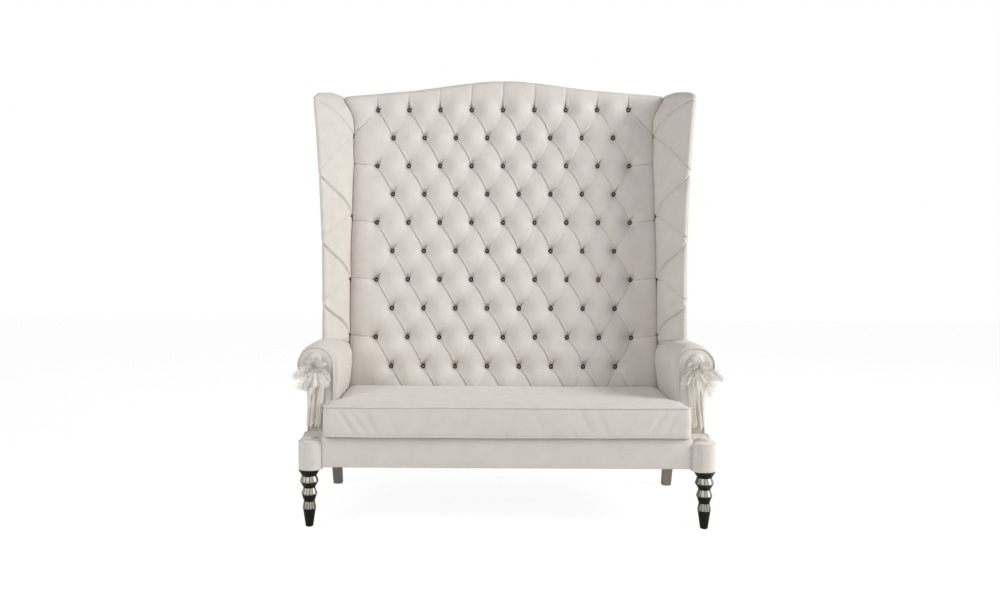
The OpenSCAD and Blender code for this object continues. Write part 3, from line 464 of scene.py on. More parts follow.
def tuftDepth(x, z, a, r):
    # how far the cover is drawn in: a = line of "\" pleats, a + r = line of "/" pleats, whole at the buttons
    b = a + np.maximum(r, 0)
    outer = back["outer"] * back["stepX"]
    inside = 1 - smooth(outer - 0.004, outer + 0.003, np.abs(x))
    crestShare = (z - back["topZ"]) / (crestAt(x) - back["crestRound"] - back["topZ"])
    upward = 1 - 0.6 * smooth(0.2, 1.0, crestShare)  # the upright channels fade out towards the crest
    # distances from the nearest pleats
    pa, pb = [(line - np.round(line)) * back["pleatGap"] for line in (a, b)]
    along = np.abs(np.sin(math.pi * b))  # 0 at buttons, 1 half way along a pleat
    right = smooth(0.15, 0.55, x)
    # pillows fall to the pleats on both sides
    fallA = (back["pleat"] + 0.006 * (1 - along)) * np.abs(2 * (a - np.floor(a)) - 1) ** 3.0 * inside * upward
    fallB = back["faint"] * np.abs(2 * (b - np.floor(b)) - 1) ** 4.2 * inside * smooth(-0.5, 0.1, r)
    # each button draws in a dimple, sharp at its rim and wide beyond
    dimple = np.zeros_like(x)
    wrinkle = np.zeros_like(x)
    rng = np.random.default_rng(5)
    for bx, bz in buttonPlaces():
        near = (np.abs(x - bx) < 0.15) & (np.abs(z - bz) < 0.15)
        dx, dz = x[near] - bx, z[near] - bz
        reach = np.hypot(dx, dz)
        bowl = 0.5 * np.exp(-(reach / 0.021) ** 1.5) + 0.5 * np.exp(-(reach / 0.048) ** 1.5)
        dimple[near] += (back["deep"] * bowl) ** 3
        turn = np.degrees(np.arctan2(dz, dx))
        # short gathers run out of each button, up and to the right, one of them along the "/" crease
        gathers = [(61 + rng.uniform(-3, 3), 0.052), (rng.uniform(76, 90), 0.036),
                   (rng.uniform(28, 42), 0.030)]
        if bz > back["topZ"] - 0.01:  # below the crest one long gather stands upright
            gathers = [(93, 0.064), (84, 0.050)] + gathers[2:]
        for angle, length in gathers:
            off = reach * np.sin(np.radians(turn - angle))
            ahead = reach * np.cos(np.radians(turn - angle))
            size = back["wrinkle"] * rng.uniform(0.75, 1.2) * smooth(0.003, 0.008, ahead)
            size = size * (1 - smooth(0.3 * length, length, ahead))
            wrinkle[near] += size * (bell(off, 0.0024) - 0.35 * bell(off + 0.0052, 0.0026))
    # level pleats from the outer buttons of every other row to the wing, and a slanting one from the top row
    out = np.abs(x) - outer
    beyond = smooth(-0.004, 0.012, out)
    sideFall, sideCrease = np.zeros_like(x), np.zeros_like(x)
    for k in range(0, back["rows"] + 2, 2):
        rise = 0.010 * out / 0.112 if k else -1.1 * out
        q = (z - (back["topZ"] - k * back["stepZ"] + rise)) * (1 if k else 0.67)
        near = np.exp(-np.maximum(out, 0) / 0.03)
        fall = (0.012 + 0.014 * near) * (1 if k else 0.5) * np.exp(-(np.abs(q) / 0.030) ** 1.2)
        sideFall = np.maximum(sideFall, fall)
        sideCrease += 0.0048 * bell(q, 0.0020) - 0.0026 * bell(q + 0.0060, 0.0030)
    depth = (fallA ** 3 + fallB ** 3 + dimple + (sideFall * beyond) ** 3) ** (1 / 3)
    # the pleat itself: a narrow crease with a rounded lip on its right, stronger on the left and in the middle
    fold = inside * (0.35 + 0.65 * along ** 0.5) * upward
    strong = 1 - 0.45 * right
    depth += fold * strong * 0.0052 * bell(pa, 0.0019)
    depth -= fold * strong * 0.0025 * bell(pa - 0.0052, 0.0023)
    rightward = smooth(-0.25, 0.45, x)
    below = smooth(-0.3, 0.05, r)
    depth += fold * below * (0.0034 + 0.0046 * rightward) * bell(pb, 0.0029)
    depth -= fold * below * (0.0006 + 0.0022 * rightward) * bell(pb + 0.0066, 0.0034)
    depth += sideCrease * beyond * 0.8 + wrinkle
    depth += back["edgeBack"] * np.exp(-(backEdge(z) - np.abs(x)) / 0.014)
    return depth + 0.0007 * softNoise(x * 14, z * 14, 3)


def makeBack():
    # a grid in shear with the pleats, each point set in from the leaning face by the tufting
    # columns between two pleats, in millimetres from the first, closer beside them
    stops = np.concatenate([[0, 1.8, 3.8, 6, 8.4, 11, 13.8, 16.6, 19.6, 22.8, 26.2, 30, 34.5],
                            np.arange(39, 96, 4.4), [99.4, 105, 110, 114, 117, 119.5, 121.6]])
    stops = stops / (1000 * back["pleatGap"])
    a = (np.arange(-11, 6)[:, None] + stops).ravel()
    top, low = back["topZ"], back["lowZ"]
    # closer rows just above each row of buttons, and where the level pleats run
    steps = np.concatenate([np.arange(-0.006, 0.036, 0.0025), np.arange(0.038, 0.120, 0.0050)])
    below = np.concatenate([top - k * back["stepZ"] + steps for k in range(1, back["rows"] + 2)])
    below = below[(below > low + 0.001) & (below < top - 0.001)]
    lines = [np.arange(-0.010, 0.0185, 0.0013) + top - k * back["stepZ"] for k in range(2, back["rows"], 2)]
    below = below[np.min([np.abs(below - line.mean()) for line in lines], 0) > 0.0148]
    below = np.unique(np.concatenate([[low], below, [top]] + lines))
    rBelow = (top - below) / back["stepZ"]
    above = np.linspace(0, 1, 27)[1:]
    arc = np.linspace(0, 90, 10)[1:]
    bow = lambda x, r: back["bow"] * np.sin(math.pi * (r - np.floor(r))) * (0.35 + 0.65 * smooth(-0.6, 0.0, x))
    rows, raws = [], []
    # rows below the upper buttons run in shear with the pleats, so that mesh lines follow them
    r = rBelow[:, None]
    half = backEdge(below)[:, None]
    halves = [half[:, 0]]
    rawX = back["stepX"] * (a[None] + r / 2)
    rawX = rawX + bow(rawX, r)
    x = np.clip(rawX, -half, half)
    z = np.broadcast_to(below[:, None], x.shape)
    latticeA = (x - bow(x, r)) / back["stepX"] - r / 2
    depth = tuftDepth(x, z, latticeA, np.broadcast_to(r, x.shape))
    rows.append(coords(x, innerY(z) + depth, z))
    raws.append(rawX)
    # above them the pleats stand upright and run up to the crest
    straightX = back["stepX"] * a[None]
    half = backEdge(top + (crestAt(0.70) - back["crestRound"] - top) * above)[:, None]
    halves += [half[:, 0], np.full(len(arc) + 5, half[-1, 0])]
    x = np.clip(np.broadcast_to(straightX, (len(above), len(a))), -half, half)
    topEdge = crestAt(x) - back["crestRound"]
    z = top + (topEdge - top) * above[:, None]
    r = np.minimum((top - z) / back["stepZ"], 0)
    depthTop = tuftDepth(x, z, x / back["stepX"], r)
    rows.append(coords(x, innerY(z) + depthTop, z))
    raws.append(np.broadcast_to(straightX, x.shape))
    # and round over the crest
    turn = np.radians(arc)[:, None]
    x = np.broadcast_to(x[-1], (len(arc), len(a)))
    sink = depthTop[-1][None] * (1 - 0.9 * arc[:, None] / 90)
    reach = back["crestRound"] - sink
    centreY, centreZ = innerY(topEdge[-1]) + back["crestRound"], topEdge[-1]
    rows.append(coords(x, centreY - reach * np.cos(turn), centreZ + reach * np.sin(turn)))
    raws.append(np.broadcast_to(straightX, x.shape))
    crestLine = topEdge[-1] + back["crestRound"]
    behind = outerY(crestLine)
    over = [(0.030, 0.0), (0.0215, -0.0004), (0.0175, -0.004), (0.0173, -0.0185), (0.052, -0.0186)]
    rows.append(np.stack([coords(x[-1], behind - inwards, crestLine + drop) for inwards, drop in over]))
    raws.append(np.broadcast_to(straightX, (len(over), len(a))))
    points, raw = np.concatenate(rows), np.concatenate(raws)
    # columns past the back's sides are drawn together on its edge
    nr, nc = raw.shape
    halves = np.concatenate(halves)
    first = np.array([np.searchsorted(row, -half, side="right") - 1 for row, half in zip(raw, halves)])
    last = np.array([np.searchsorted(row, half, side="left") for row, half in zip(raw, halves)])
    column = np.clip(np.arange(nc)[None], first[:, None], last[:, None])
    index = np.arange(nr)[:, None] * nc + column
    quad = coords(index[:-1, :-1], index[:-1, 1:], index[1:, 1:], index[1:, :-1]).reshape(-1, 4)
    lowFlat, topFlat = quad[:, 0] == quad[:, 1], quad[:, 2] == quad[:, 3]
    quads = quad[~lowFlat & ~topFlat]
    triangles = np.concatenate([quad[lowFlat & ~topFlat][:, [0, 2, 3]],
                                quad[topFlat & ~lowFlat][:, [0, 1, 2]]])
    # the edge of the face goes back to the webbing and is closed behind
    lowRow = index[0, first[0]:last[0] + 1]
    topRow = index[-1, first[-1]:last[-1] + 1][::-1]
    rim = np.concatenate([lowRow, index[1:-1, -1], topRow, index[1:-1, 0][::-1]])
    flat = points.reshape(-1, 3)
    rear = flat[rim].copy()
    rear[:, 1] = outerY(rear[:, 2]) - back["webbingIn"]
    start = len(flat)
    n = len(rim)
    wall = coords(rim, np.arange(n) + start, np.roll(np.arange(n), -1) + start, np.roll(rim, -1))
    middle = np.array([[0.0, outerY(back["middleZ"]) - back["webbingIn"], back["middleZ"]]])
    faces = [quads, triangles, wall, fanFaces(np.arange(n) + start, start + n)]
    everything = np.concatenate([flat, rear, middle])
    used, joined = np.unique(np.concatenate([f.ravel() for f in faces]), return_inverse=True)
    sizes = np.cumsum([0] + [f.size for f in faces])
    faces = [joined[sizes[k]:sizes[k + 1]].reshape(f.shape) for k, f in enumerate(faces)]
    return faceOut(makeMesh("tufted_back", everything[used], faces, ivoryNap))


def makeButtons(name, profile, material):
    # the same small turned shape at every button, lying square to the leaning back
    lean = math.radians(settee["seatRake"])
    out = np.array([0, -math.cos(lean), -math.sin(lean)])
    up = np.array([0, -math.sin(lean), math.cos(lean)])
    turn = fullTurn(button["around"])
    around = np.cos(turn)[:, None] * np.array([1.0, 0, 0]) + np.sin(turn)[:, None] * up
    points, faces = [], []
    count = len(profile)
    size = count * len(turn) + 1
    for k, (x, z) in enumerate(buttonPlaces()):
        centre = np.array([x, innerY(z) + button["seatY"], z])
        rings = np.stack([centre + around * r + out * h for r, h in profile])
        tip = centre + out * (profile[-1][1] + button["tip"])
        points.append(np.concatenate([rings.reshape(-1, 3), [tip]]))
        faces.append((gridFaces(count, len(turn), closeColumns=True, start=k * size),
                      fanFaces(np.arange(len(turn)) + (count - 1) * len(turn) + k * size, size - 1 + k * size)))
    faces = [np.concatenate([f[i] for f in faces]) for i in (0, 1)]
    return makeMesh(name, np.concatenate(points), faces, material)


button = {
    "seatY": 0.0335, "around": 18, "tip": 0.0006,
    "rim": ((0.0084, -0.004), (0.0096, 0.0), (0.0098, 0.0022), (0.0092, 0.0042), (0.0078, 0.0052),
            (0.0058, 0.0050), (0.0046, 0.0036)),
    # the raised middle, in lighter nickel as a painted highlight
    "highlightCentre": ((0.0049, 0.0034), (0.0042, 0.0050), (0.0029, 0.0060), (0.0014, 0.0066)),
}
finishPiece(makeButtons("button_rims", button["rim"], darkNickel), ["back_buttons"])
# the middles take the lighter nickel: a painted highlight on each button
finishPiece(makeButtons("button_highlight_centres", button["highlightCentre"], highlightNickel))
tuftedBack = finishPiece(makeBack(), ["tufted_back_pad"])
print("tufted back made", len(tuftedBack.data.polygons))


sides = (("right", False), ("left", True))


def bothSides(make, label, node):  # the right piece and the left one
    for side, flip in sides:
        finishPiece(make(label + side, flip), [node + side])


# wings
wing = {
    "reach": 0.168, "r": 0.015, "lowOut": 0.021, "topOut": 0.080, "armZ": 0.698, "topZ": 1.755, "rows": 500,
    # each fold's height at the back and at the front edge, as shares of the wing's height
    "folds": ((0.013, 0.146), (0.237, 0.154), (0.245, 0.393), (0.503, 0.401), (0.511, 0.664), (0.841, 0.672),
              (0.849, 0.967)),
    "step": 0.0060, "ridge": 0.0040, "crease": 0.0050, "faintLeft": 0.0044, "faintRight": 0.0068,
    "seam": 0.0095, "topRound": 0.028, "seamAngle": 305, "viewY": 3.6, "topRise": 0.021, "topDrop": 0.018,
    "ends": (40, 79, 94),  # columns of the plan at which its face, its front roll and its outer side end
}


def wingDepth(share, fade, z, faint):  # how far the face is drawn in by its slanting folds
    height = wing["topZ"] - wing["armZ"]
    depth = np.zeros_like(z)
    for k, (inner, front) in enumerate(wing["folds"]):
        low, high = wing["armZ"] + inner * height, wing["armZ"] + front * height
        curve = 0.2 * (1 - share) ** 3 * share * (1.0 if k % 2 == 0 else 0.3)
        q = (z - low - (high - low) * share - curve) * 0.75
        if k == 6:  # the seam of the rounded top, level at the front and steep at the back
            q = (z - high + (high - low) * (1 - share) ** 2.2) * 0.8
            depth += wing["seam"] * bell(q, 0.0024) - 0.0022 * np.tanh(q / 0.0014) * np.exp(-np.abs(q) / 0.012)
        elif k % 2 == 0:  # a strong pleat: the cloth above laps over the cloth below
            above = smooth(-0.0014, 0.0014, q)
            depth += fade * (wing["step"] * (1 - above) * np.exp(np.minimum(q, 0) / 0.03)
                             - wing["ridge"] * above * np.exp(-np.maximum(q, 0) / 0.013)
                             + wing["crease"] * bell(q + 0.0018, 0.0020))
        else:
            depth += fade * faint * (bell(q, 0.0022) - 0.3 * np.tanh(q / 0.0014) * np.exp(-np.abs(q) / 0.014))
    return depth


def wingPlan(z):  # plan of the wing at a height: inner face, rolled front edge, outer face, back edge
    rise = np.clip((z - wing["armZ"]) / (wing["topZ"] - wing["armZ"]), 0, None)
    out = wing["lowOut"] + (wing["topOut"] - wing["lowOut"]) * rise ** 2
    r = wing["r"]
    faceEnd, rollEnd, sideEnd = wing["ends"]
    cx, cy = settee["rollX"] + out - r, innerY(z) - wing["reach"] + r
    x0, y0 = innerEdge(z), innerY(z) + 0.016
    # the inner face runs straight on to the roll: its line touches the circle at the angle 180 degrees + lean
    lean = np.arctan2(cx - x0, y0 - cy) - np.arcsin(r / np.hypot(cx - x0, y0 - cy))
    first = math.pi + lean
    inner = np.linspace(0, 1, faceEnd)
    seam = math.radians(wing["seamAngle"])
    x1, y1 = cx + r * np.cos(first), cy + r * np.sin(first)
    face = coords(x0 + (x1 - x0) * inner, y0 + (y1 - y0) * inner)
    face[..., 0] -= 0.006 * np.sin(math.pi * inner) ** 1.5  # a little fulness between its two edges
    early = first + (seam - 0.16 - first) * np.linspace(0, 1, 27)[1:]
    late = np.concatenate([np.linspace(seam - 0.12, seam + 0.12, 7), np.linspace(seam + 0.2, 2 * math.pi, 6)])
    late = np.broadcast_to(late, (len(z), len(late)))
    roll = np.concatenate([early, late], 1)
    front = onCircle(cx, cy, r, roll)
    backX, rearY = settee["panelHalf"] - 0.0005, outerY(z) - 0.0165
    outer = np.linspace(0, 1, sideEnd - rollEnd + 1)[1:]
    side = coords(cx + r + (backX - cx - r) * outer, cy + (rearY - cy) * outer)
    rear = np.stack([np.concatenate([backX + (x0 - backX) * k, rearY], -1) for k in (0.33, 0.66, 1.0)], 1)
    plan = np.concatenate([face, front, side, rear], 1)
    before = rollEnd - late.shape[1]
    seamGap = np.concatenate([np.ones(before), np.abs(late[0] - seam) * r, np.ones(plan.shape[1] - rollEnd)])
    return plan, seamGap


def makeWing(name, flip):
    # plans stacked by height, rounded over the top and drawn in along their normals by the folds
    t = np.linspace(0, 1, wing["rows"])[:, None]
    zc = wing["armZ"] + (wing["topZ"] - wing["topRound"] - wing["armZ"]) * t
    plan, seamGap = wingPlan(zc)
    points = coords(plan[..., 0], plan[..., 1], zc)
    faceEnd, rollEnd, sideEnd = wing["ends"]
    tops = []
    for angle in np.linspace(0, math.pi / 2, 12)[1:]:
        high = wing["topZ"] - wing["topRound"] * (1 - math.sin(angle))
        ring = wingPlan(np.array([[high]]))[0][0]
        ahead = unit(np.roll(ring, -1, 0) - np.roll(ring, 1, 0))
        face, side = ring[faceEnd - 1::-1], ring[rollEnd - 1:sideEnd]
        thick = np.interp(ring[:, 1], side[:, 1], side[:, 0]) - np.interp(ring[:, 1], face[:, 1], face[:, 0])
        inset = np.minimum(wing["topRound"] * 0.9, 0.44 * np.maximum(thick, 0.004))[:, None]
        inset = inset * (1 - math.cos(angle))
        inward = ring - coords(ahead[:, 1], -ahead[:, 0]) * inset
        # the rear end stands flat against the outside back and only narrows
        inward[rollEnd:, 1] = ring[rollEnd:, 1]
        corner = sideEnd - 1
        inward[corner:, 0] = np.linspace(ring[corner, 0] - inset[corner, 0], ring[-1, 0] + inset[-1, 0],
                                         len(ring) - corner)
        tops.append(atHeight(inward, high))
    points = np.concatenate([points, np.stack(tops)])
    # the top rises from the front corner towards the back
    line = points[..., 1] - innerY(points[..., 2]) + wing["reach"]
    rise = wing["topRise"] * smooth(0.0, 0.15, line) - wing["topDrop"] * (1 - smooth(0.0, 0.05, line))
    points[..., 2] += rise * smooth(wing["topZ"] - 0.13, wing["topZ"], points[..., 2])
    normals = gridNormals(points)
    if normals[20, 20, 0] > 0:  # outwards is towards the seat on the inner face
        normals = -normals
    # share of the width that shows from in front, where nearer points look further out
    seen = points[..., 0] / (points[..., 1] + wing["viewY"])
    widest = seen.argmax(1)[:, None]
    column = np.arange(points.shape[1])[None]
    share = (seen - seen[:, :1]) / (seen.max(1, keepdims=True) - seen[:, :1])
    share = np.where(column > widest, 1.0, np.clip(share, 0, 1))
    fade = 1 - smooth(0, 9, column - widest)
    z = points[..., 2]
    faceSide = column < rollEnd
    fade = fade * (1 - 0.6 * smooth(0.86, 1.0, share))
    depth = wingDepth(share, fade, z, wing["faintLeft" if flip else "faintRight"]) * faceSide
    unevenness = 0.0006 * softNoise(z * 9, points[..., 1] * 11, 7) * faceSide
    depth += 0.0026 * bell(seamGap[None], 0.0022) + unevenness
    points = points - normals * depth[..., None]
    # the foot sits on the arm roll
    across = np.clip((points[:1, :, 0] - settee["rollX"]) / settee["rollR"], -1, 1)
    foot = settee["rollZ"] + settee["rollR"] * np.sqrt(1 - across ** 2) + 0.0006
    low = points[:1].copy()
    low[..., 2] = np.minimum(foot, low[..., 2])
    points = np.concatenate([low, points])
    # beside the back the cover keeps to its own side of the join, but never past its own outer face
    sides = points[:, rollEnd - 1:sideEnd]
    outerX = np.stack([np.interp(row[:, 1], side[:, 1], side[:, 0]) for row, side in zip(points, sides)])
    points[..., 0] = np.maximum(points[..., 0], np.minimum(innerEdge(points[..., 2]), outerX - 0.003))
    return closedTube(name, mirrored(points, flip), ivoryNap)


bothSides(makeWing, "wing_", "wing_pad_")
print("wings made")


# arms
arm = {
    "frontY": -0.2101, "rearY": 0.305, "wallX": 0.6803, "innerX": 0.7312, "lowZ": 0.3356, "coreR": 0.0566,
    "rollEnd": -72, "swell": 0.0035, "facingX": 0.7562, "facingZ": 0.6105, "facingR": 0.0728,
    "facingLowX": 0.6809, "facingFootZ": 0.3424, "weltR": 0.003, "spineX": 0.742, "spineZ": (0.40, 0.61),
    # share of the outline and how far behind the arm's front, from its rear edge to its middle
    "facingProfile": ((0.97, 0.0078), (1.0, 0.0062), (1.0, 0.0022), (0.985, 0.0), (0.95, -0.0010),
                      (0.85, -0.0020), (0.7, -0.0026), (0.45, -0.003), (0.2, -0.003)),
    # middle and radius of the tassel's disc, and its share of the radius at each distance forward
    "disc": (0.757, 0.636, 0.026), "discWeltY": -0.2268, "discWeltR": 0.0021,
    "discProfile": ((0.97, 0.2172), (1.0, 0.2200), (1.0, 0.2245), (0.95, 0.2285), (0.8, 0.2330), (0.55, 0.2378),
                    (0.25, 0.2394)),
}


def smoothLine(line, rounds):  # averages each point with its neighbours, ends kept
    line = line.copy()
    for _ in range(rounds):
        line[1:-1] = (line[:-2] + 2 * line[1:-1] + line[2:]) / 4
    return line


def evenly(line, count):  # the same line with evenly spaced points
    step = np.concatenate([[0], np.cumsum(np.linalg.norm(np.diff(line, axis=0), axis=1))])
    at = np.linspace(0, step[-1], count)
    return np.stack([np.interp(at, step, line[:, k]) for k in range(line.shape[1])], -1)


def makeArm(name, flip):
    # the outline of wall, roll and core carried along y, its face drawn in by pleats
    rollX, rollZ, rollR = settee["rollX"], settee["rollZ"], settee["rollR"]
    aside = rollX - arm["wallX"]
    start = math.degrees(math.atan2(-math.sqrt(rollR ** 2 - aside ** 2), -aside)) + 360
    wall = coords(arm["wallX"], np.linspace(arm["lowZ"], rollZ + rollR * math.sin(math.radians(start)), 40))
    roll = onCircle(rollX, rollZ, rollR, angles(start, arm["rollEnd"], 110))
    outer = smoothLine(evenly(np.concatenate([wall[:-1], roll]), 170), 60)
    # above the cushion the wall already leans in towards the roll
    lean = 0.010 * smooth(0.45, 0.53, outer[:, 1]) * (1 - smooth(0.55, 0.61, outer[:, 1]))
    lean = lean * (outer[:, 0] < 0.70)
    outer[:, 0] = np.maximum(outer[:, 0] - lean, rollX - rollR)
    inner = onCircle(rollX, rollZ, arm["coreR"], angles(arm["rollEnd"], 196, 50))
    tail = np.array([[arm["innerX"] - 0.03, 0.56], [arm["innerX"], 0.53], [arm["innerX"], arm["lowZ"]]])
    x, z = np.concatenate([outer, inner, tail]).T
    # it ends at the tufted face on the seat's side, and at the outside back beyond
    stop = np.where(x < settee["backHalf"] + 0.0004, innerY(z) - 0.0006, outerY(z) - 0.0170)
    points = coords(x, np.minimum(np.linspace(arm["frontY"], arm["rearY"], 210)[:, None], stop), z)
    # faint pleats where the cover is pulled towards the facing, and a soft swell
    count = len(outer)
    length = np.linspace(0, 1, count)[None]
    along = points[:, :count, 1] - arm["frontY"]
    first = along - 0.045 * np.sin(np.clip((length - 0.42) / 0.34, 0, 1) * math.pi) ** 0.6
    second = along - 0.02 - 0.20 * np.clip((0.52 - length) / 0.3, 0, 1) ** 1.4
    sink = 0.0036 * bell(first, 0.0026) * smooth(0.42, 0.5, length) * (1 - smooth(0.7, 0.78, length))
    sink = sink + 0.0036 * bell(second, 0.0028) * smooth(0.2, 0.26, length) * (1 - smooth(0.5, 0.56, length))
    rounded = np.sin(math.pi * np.clip(along / 0.38, 0, 1)) * smooth(0, 0.03, length)
    sink = sink - arm["swell"] * rounded * np.sin(math.pi * length) ** 0.5
    sink = sink + 0.004 * np.exp(-along / 0.008) + 0.0007 * softNoise(length * 30, along * 40, 11)
    tangent = unit(np.gradient(outer, axis=0))
    outward = coords(-tangent[:, 1], tangent[:, 0])
    if np.dot(outward[100], outer[100] - np.array([rollX, rollZ])) < 0:
        outward = -outward
    points[:, :count, 0] -= outward[None, :, 0] * sink
    points[:, :count, 2] -= outward[None, :, 1] * sink
    return closedTube(name, mirrored(points, flip), ivoryNap)


def makeWelt(name, path, radius, material=None, closed=False):
    # cloth-covered cord with the slight lumps of its filling
    along = np.arange(len(path)) * 0.004
    size = radius * (1 + 0.06 * softNoise(along * 90, along * 31, 13) - 0.02)
    return closedTube(name, sweep(path, size, 10, closed), material or ivoryWelt, closed)


def facingOutline(grow, count=120):  # round top on a straight lower part, clockwise from the inner foot
    r = arm["facingR"] + grow
    low, high = arm["facingLowX"] - grow, settee["armX"] + grow
    start = math.pi + math.acos(min((arm["facingX"] - low) / r, 1))
    stop = -math.acos(min((high - arm["facingX"]) / r, 1))
    arc = onCircle(arm["facingX"], arm["facingZ"], r, np.linspace(start, stop, 60))
    foot = arm["facingFootZ"]
    return evenly(np.concatenate([[[low, foot]], arc, [[high, foot]]]), count)


def makeFacing(name, flip):
    # rings of the outline drawn in towards a short upright spine, each at its own depth
    edge = facingOutline(0)
    bottom = evenly(np.array([edge[-1], edge[0]]), 24)[1:-1]
    edge = np.concatenate([edge, bottom])
    spine = coords(arm["spineX"], np.clip(edge[:, 1], *arm["spineZ"]))
    rings = []
    for share, forward in arm["facingProfile"]:
        ring = spine + (edge - spine) * share
        ringSwell = 0.0045 * bell(share - 0.72, 0.16) * smooth(0.56, 0.62, ring[:, 1])
        rings.append(atDepth(ring, settee["armY"] + forward - ringSwell))
    # the tassel hangs from a covered disc with a welt of its own
    turn = fullTurn(56)
    discX, discZ, discR = arm["disc"]
    disc = [atDepth(onCircle(discX, discZ, discR * share, turn), -depth)
            for share, depth in arm["discProfile"]]
    ring = atDepth(onCircle(discX, discZ, discR - 0.0006, turn), arm["discWeltY"])
    return merged(name, [closedTube(name, mirrored(np.stack(rings), flip), ivoryNap),
                         closedTube("disc", mirrored(np.stack(disc), flip), ivoryNap),
                         makeWelt("ring", mirrored(ring, flip), arm["discWeltR"], closed=True)], ivoryNap)


bothSides(makeArm, "arm_", "arm_pad_")
bothSides(makeFacing, "facing_", "arm_facing_")
weltLine = atDepth(facingOutline(-arm["weltR"], 150), settee["armY"] - 0.0031)
welts = [makeWelt("welt", mirrored(weltLine, flip), arm["weltR"]) for side, flip in sides]
finishPiece(merged("facing_welts_cover", welts, ivoryWelt), ["facing_welts"])
print("arms made")


# seat cushion: a boxed feather cushion with ears in front of the arms
cushion = {
    "half": 0.6725, "ear": 0.0260, "earY": -0.2345, "frontY": -0.3835, "cornerR": 0.024, "lowZ": 0.3504,
    "midZ": 0.41, "weltLow": 0.3541, "weltHigh": 0.4660, "crown": 0.0125, "weltR": 0.0033, "rearRise": 0.014,
    "voxel": 0.0075, "cap": 0.007, "frames": 20, "limitX": 0.7028, "limitY": -0.3882, "limitZ": 0.4815,
    "cloth": {"use_pressure": True, "uniform_pressure_force": 4.0, "quality": 4, "mass": 0.25,
              "tension_stiffness": 18, "compression_stiffness": 18, "bending_stiffness": 0.6},
    # slanting pulls across the boxing, as where the cover is tight over its filling: place, slant and depth
    "pulls": ((-0.61, -0.65, 0.0034), (-0.565, -0.7, 0.0030), (-0.52, -0.6, 0.0022), (-0.44, -0.5, 0.0014),
              (-0.20, 0.4, 0.0012), (0.12, -0.5, 0.0014), (0.30, -0.6, 0.0016), (0.36, -0.5, 0.0014),
              (0.57, 0.6, 0.0028), (0.62, 0.55, 0.0024)),
    # small ones above the lower welt: place and slant
    "pinches": ((-0.005, 0.35), (0.255, -0.3), (-0.33, 0.2)),
}


def cushionPlan(count):  # the cushion seen from above, anticlockwise, with its two ears and round corners
    half, ear, r = cushion["half"], cushion["half"] + cushion["ear"], cushion["cornerR"]
    earY = cushion["earY"] - 0.002
    rear = innerY(cushion["midZ"]) - 0.008
    turn = angles(-90, 0, 9)
    notch = np.array([[ear, earY - 0.010], [ear - 0.002, earY - 0.003], [half + 0.003, earY + 0.001],
                      [half, earY + 0.008]])
    right = np.concatenate([onCircle(ear - r, cushion["frontY"] + r, r, turn), notch,
                            onCircle(half - r, rear - r, r, angles(0, 90, 9))])
    loop = np.concatenate([right, right[::-1] * [-1, 1]])
    return evenly(np.concatenate([loop, loop[:1]]), count + 1)[:-1]


def rearLean(y, z):  # near the back the cushion's side leans with it
    return (innerY(z) - innerY(cushion["midZ"])) * smooth(0.0, 0.06, y)


def rearRise(y):  # the cushion stands higher where it is pushed against the back
    return cushion["rearRise"] * smooth(-0.30, 0.09, y)


def makeCushion():
    # rings of the plan, shrunk towards its middle line below and above, full size round the boxing
    plan = cushionPlan(520)
    # the cloth draws its cover in, so it starts a little larger at the ears and the front
    plan[:, 0] += 0.0035 * np.sign(plan[:, 0]) * (1 - smooth(-0.262, -0.236, plan[:, 1]))
    plan[:, 1] -= 0.0065 * (1 - smooth(-0.36, -0.25, plan[:, 1]))
    middle = coords(np.clip(plan[:, 0], -0.52, 0.52), (cushion["frontY"] + innerY(cushion["midZ"])) / 2)
    low, high = cushion["weltLow"], cushion["weltHigh"]
    rings = []
    for share in (0.12, 0.4, 0.7, 0.9, 0.985):
        rings.append(atHeight(middle + (plan - middle) * share, cushion["lowZ"] + 0.0004))
    for k in np.linspace(0, 1, 14):  # the boxing swells a little between its two welts
        ring = middle + (plan - middle) * (1 + 0.013 * math.sin(math.pi * k) ** 0.5)
        z = low + (high - 0.001 - low) * k
        rings.append(coords(ring[:, 0], ring[:, 1] + rearLean(ring[:, 1], z), z + k * rearRise(ring[:, 1])))
    for share in (0.985, 0.95, 0.88, 0.78, 0.65, 0.5, 0.34, 0.16):
        ring = middle + (plan - middle) * share
        z = high + 0.0005 + (cushion["crown"] - 0.002) * (1 - share ** 3.2)
        rings.append(coords(ring[:, 0], ring[:, 1] + 0.004 * (ring[:, 1] > 0.05), z + rearRise(ring[:, 1])))
    return closedTube("seat_cushion", np.stack(rings), ivoryNap)


def swell(piece):  # remesh, blow up with Cloth, keep each point within the cap
    bpy.context.view_layer.objects.active = piece
    remesh = piece.modifiers.new("remesh", "REMESH")
    remesh.mode, remesh.voxel_size = "VOXEL", cushion["voxel"]
    bpy.ops.object.modifier_apply(modifier="remesh")
    before = readPoints(piece.data)
    cloth = piece.modifiers.new("cloth", "CLOTH")
    for key, value in cushion["cloth"].items():
        setattr(cloth.settings, key, value)
    cloth.settings.effector_weights.gravity = 0
    cloth.collision_settings.use_collision = False
    cloth.collision_settings.use_self_collision = False
    cloth.point_cache.frame_start, cloth.point_cache.frame_end = 1, cushion["frames"]
    scene = bpy.context.scene
    for k in range(cushion["frames"]):
        scene.frame_set(k + 1)
    bpy.context.view_layer.update()
    after = readPoints(piece.evaluated_get(bpy.context.evaluated_depsgraph_get()).data)
    piece.modifiers.remove(cloth)
    scene.frame_set(1)
    move = after - before
    move -= move.mean(0)  # nothing holds the cloth in place, so its drift as a whole is taken out
    length = np.maximum(np.linalg.norm(move, axis=1, keepdims=True), 1e-9)
    move *= np.minimum(1, cushion["cap"] / length)
    return before, before + move


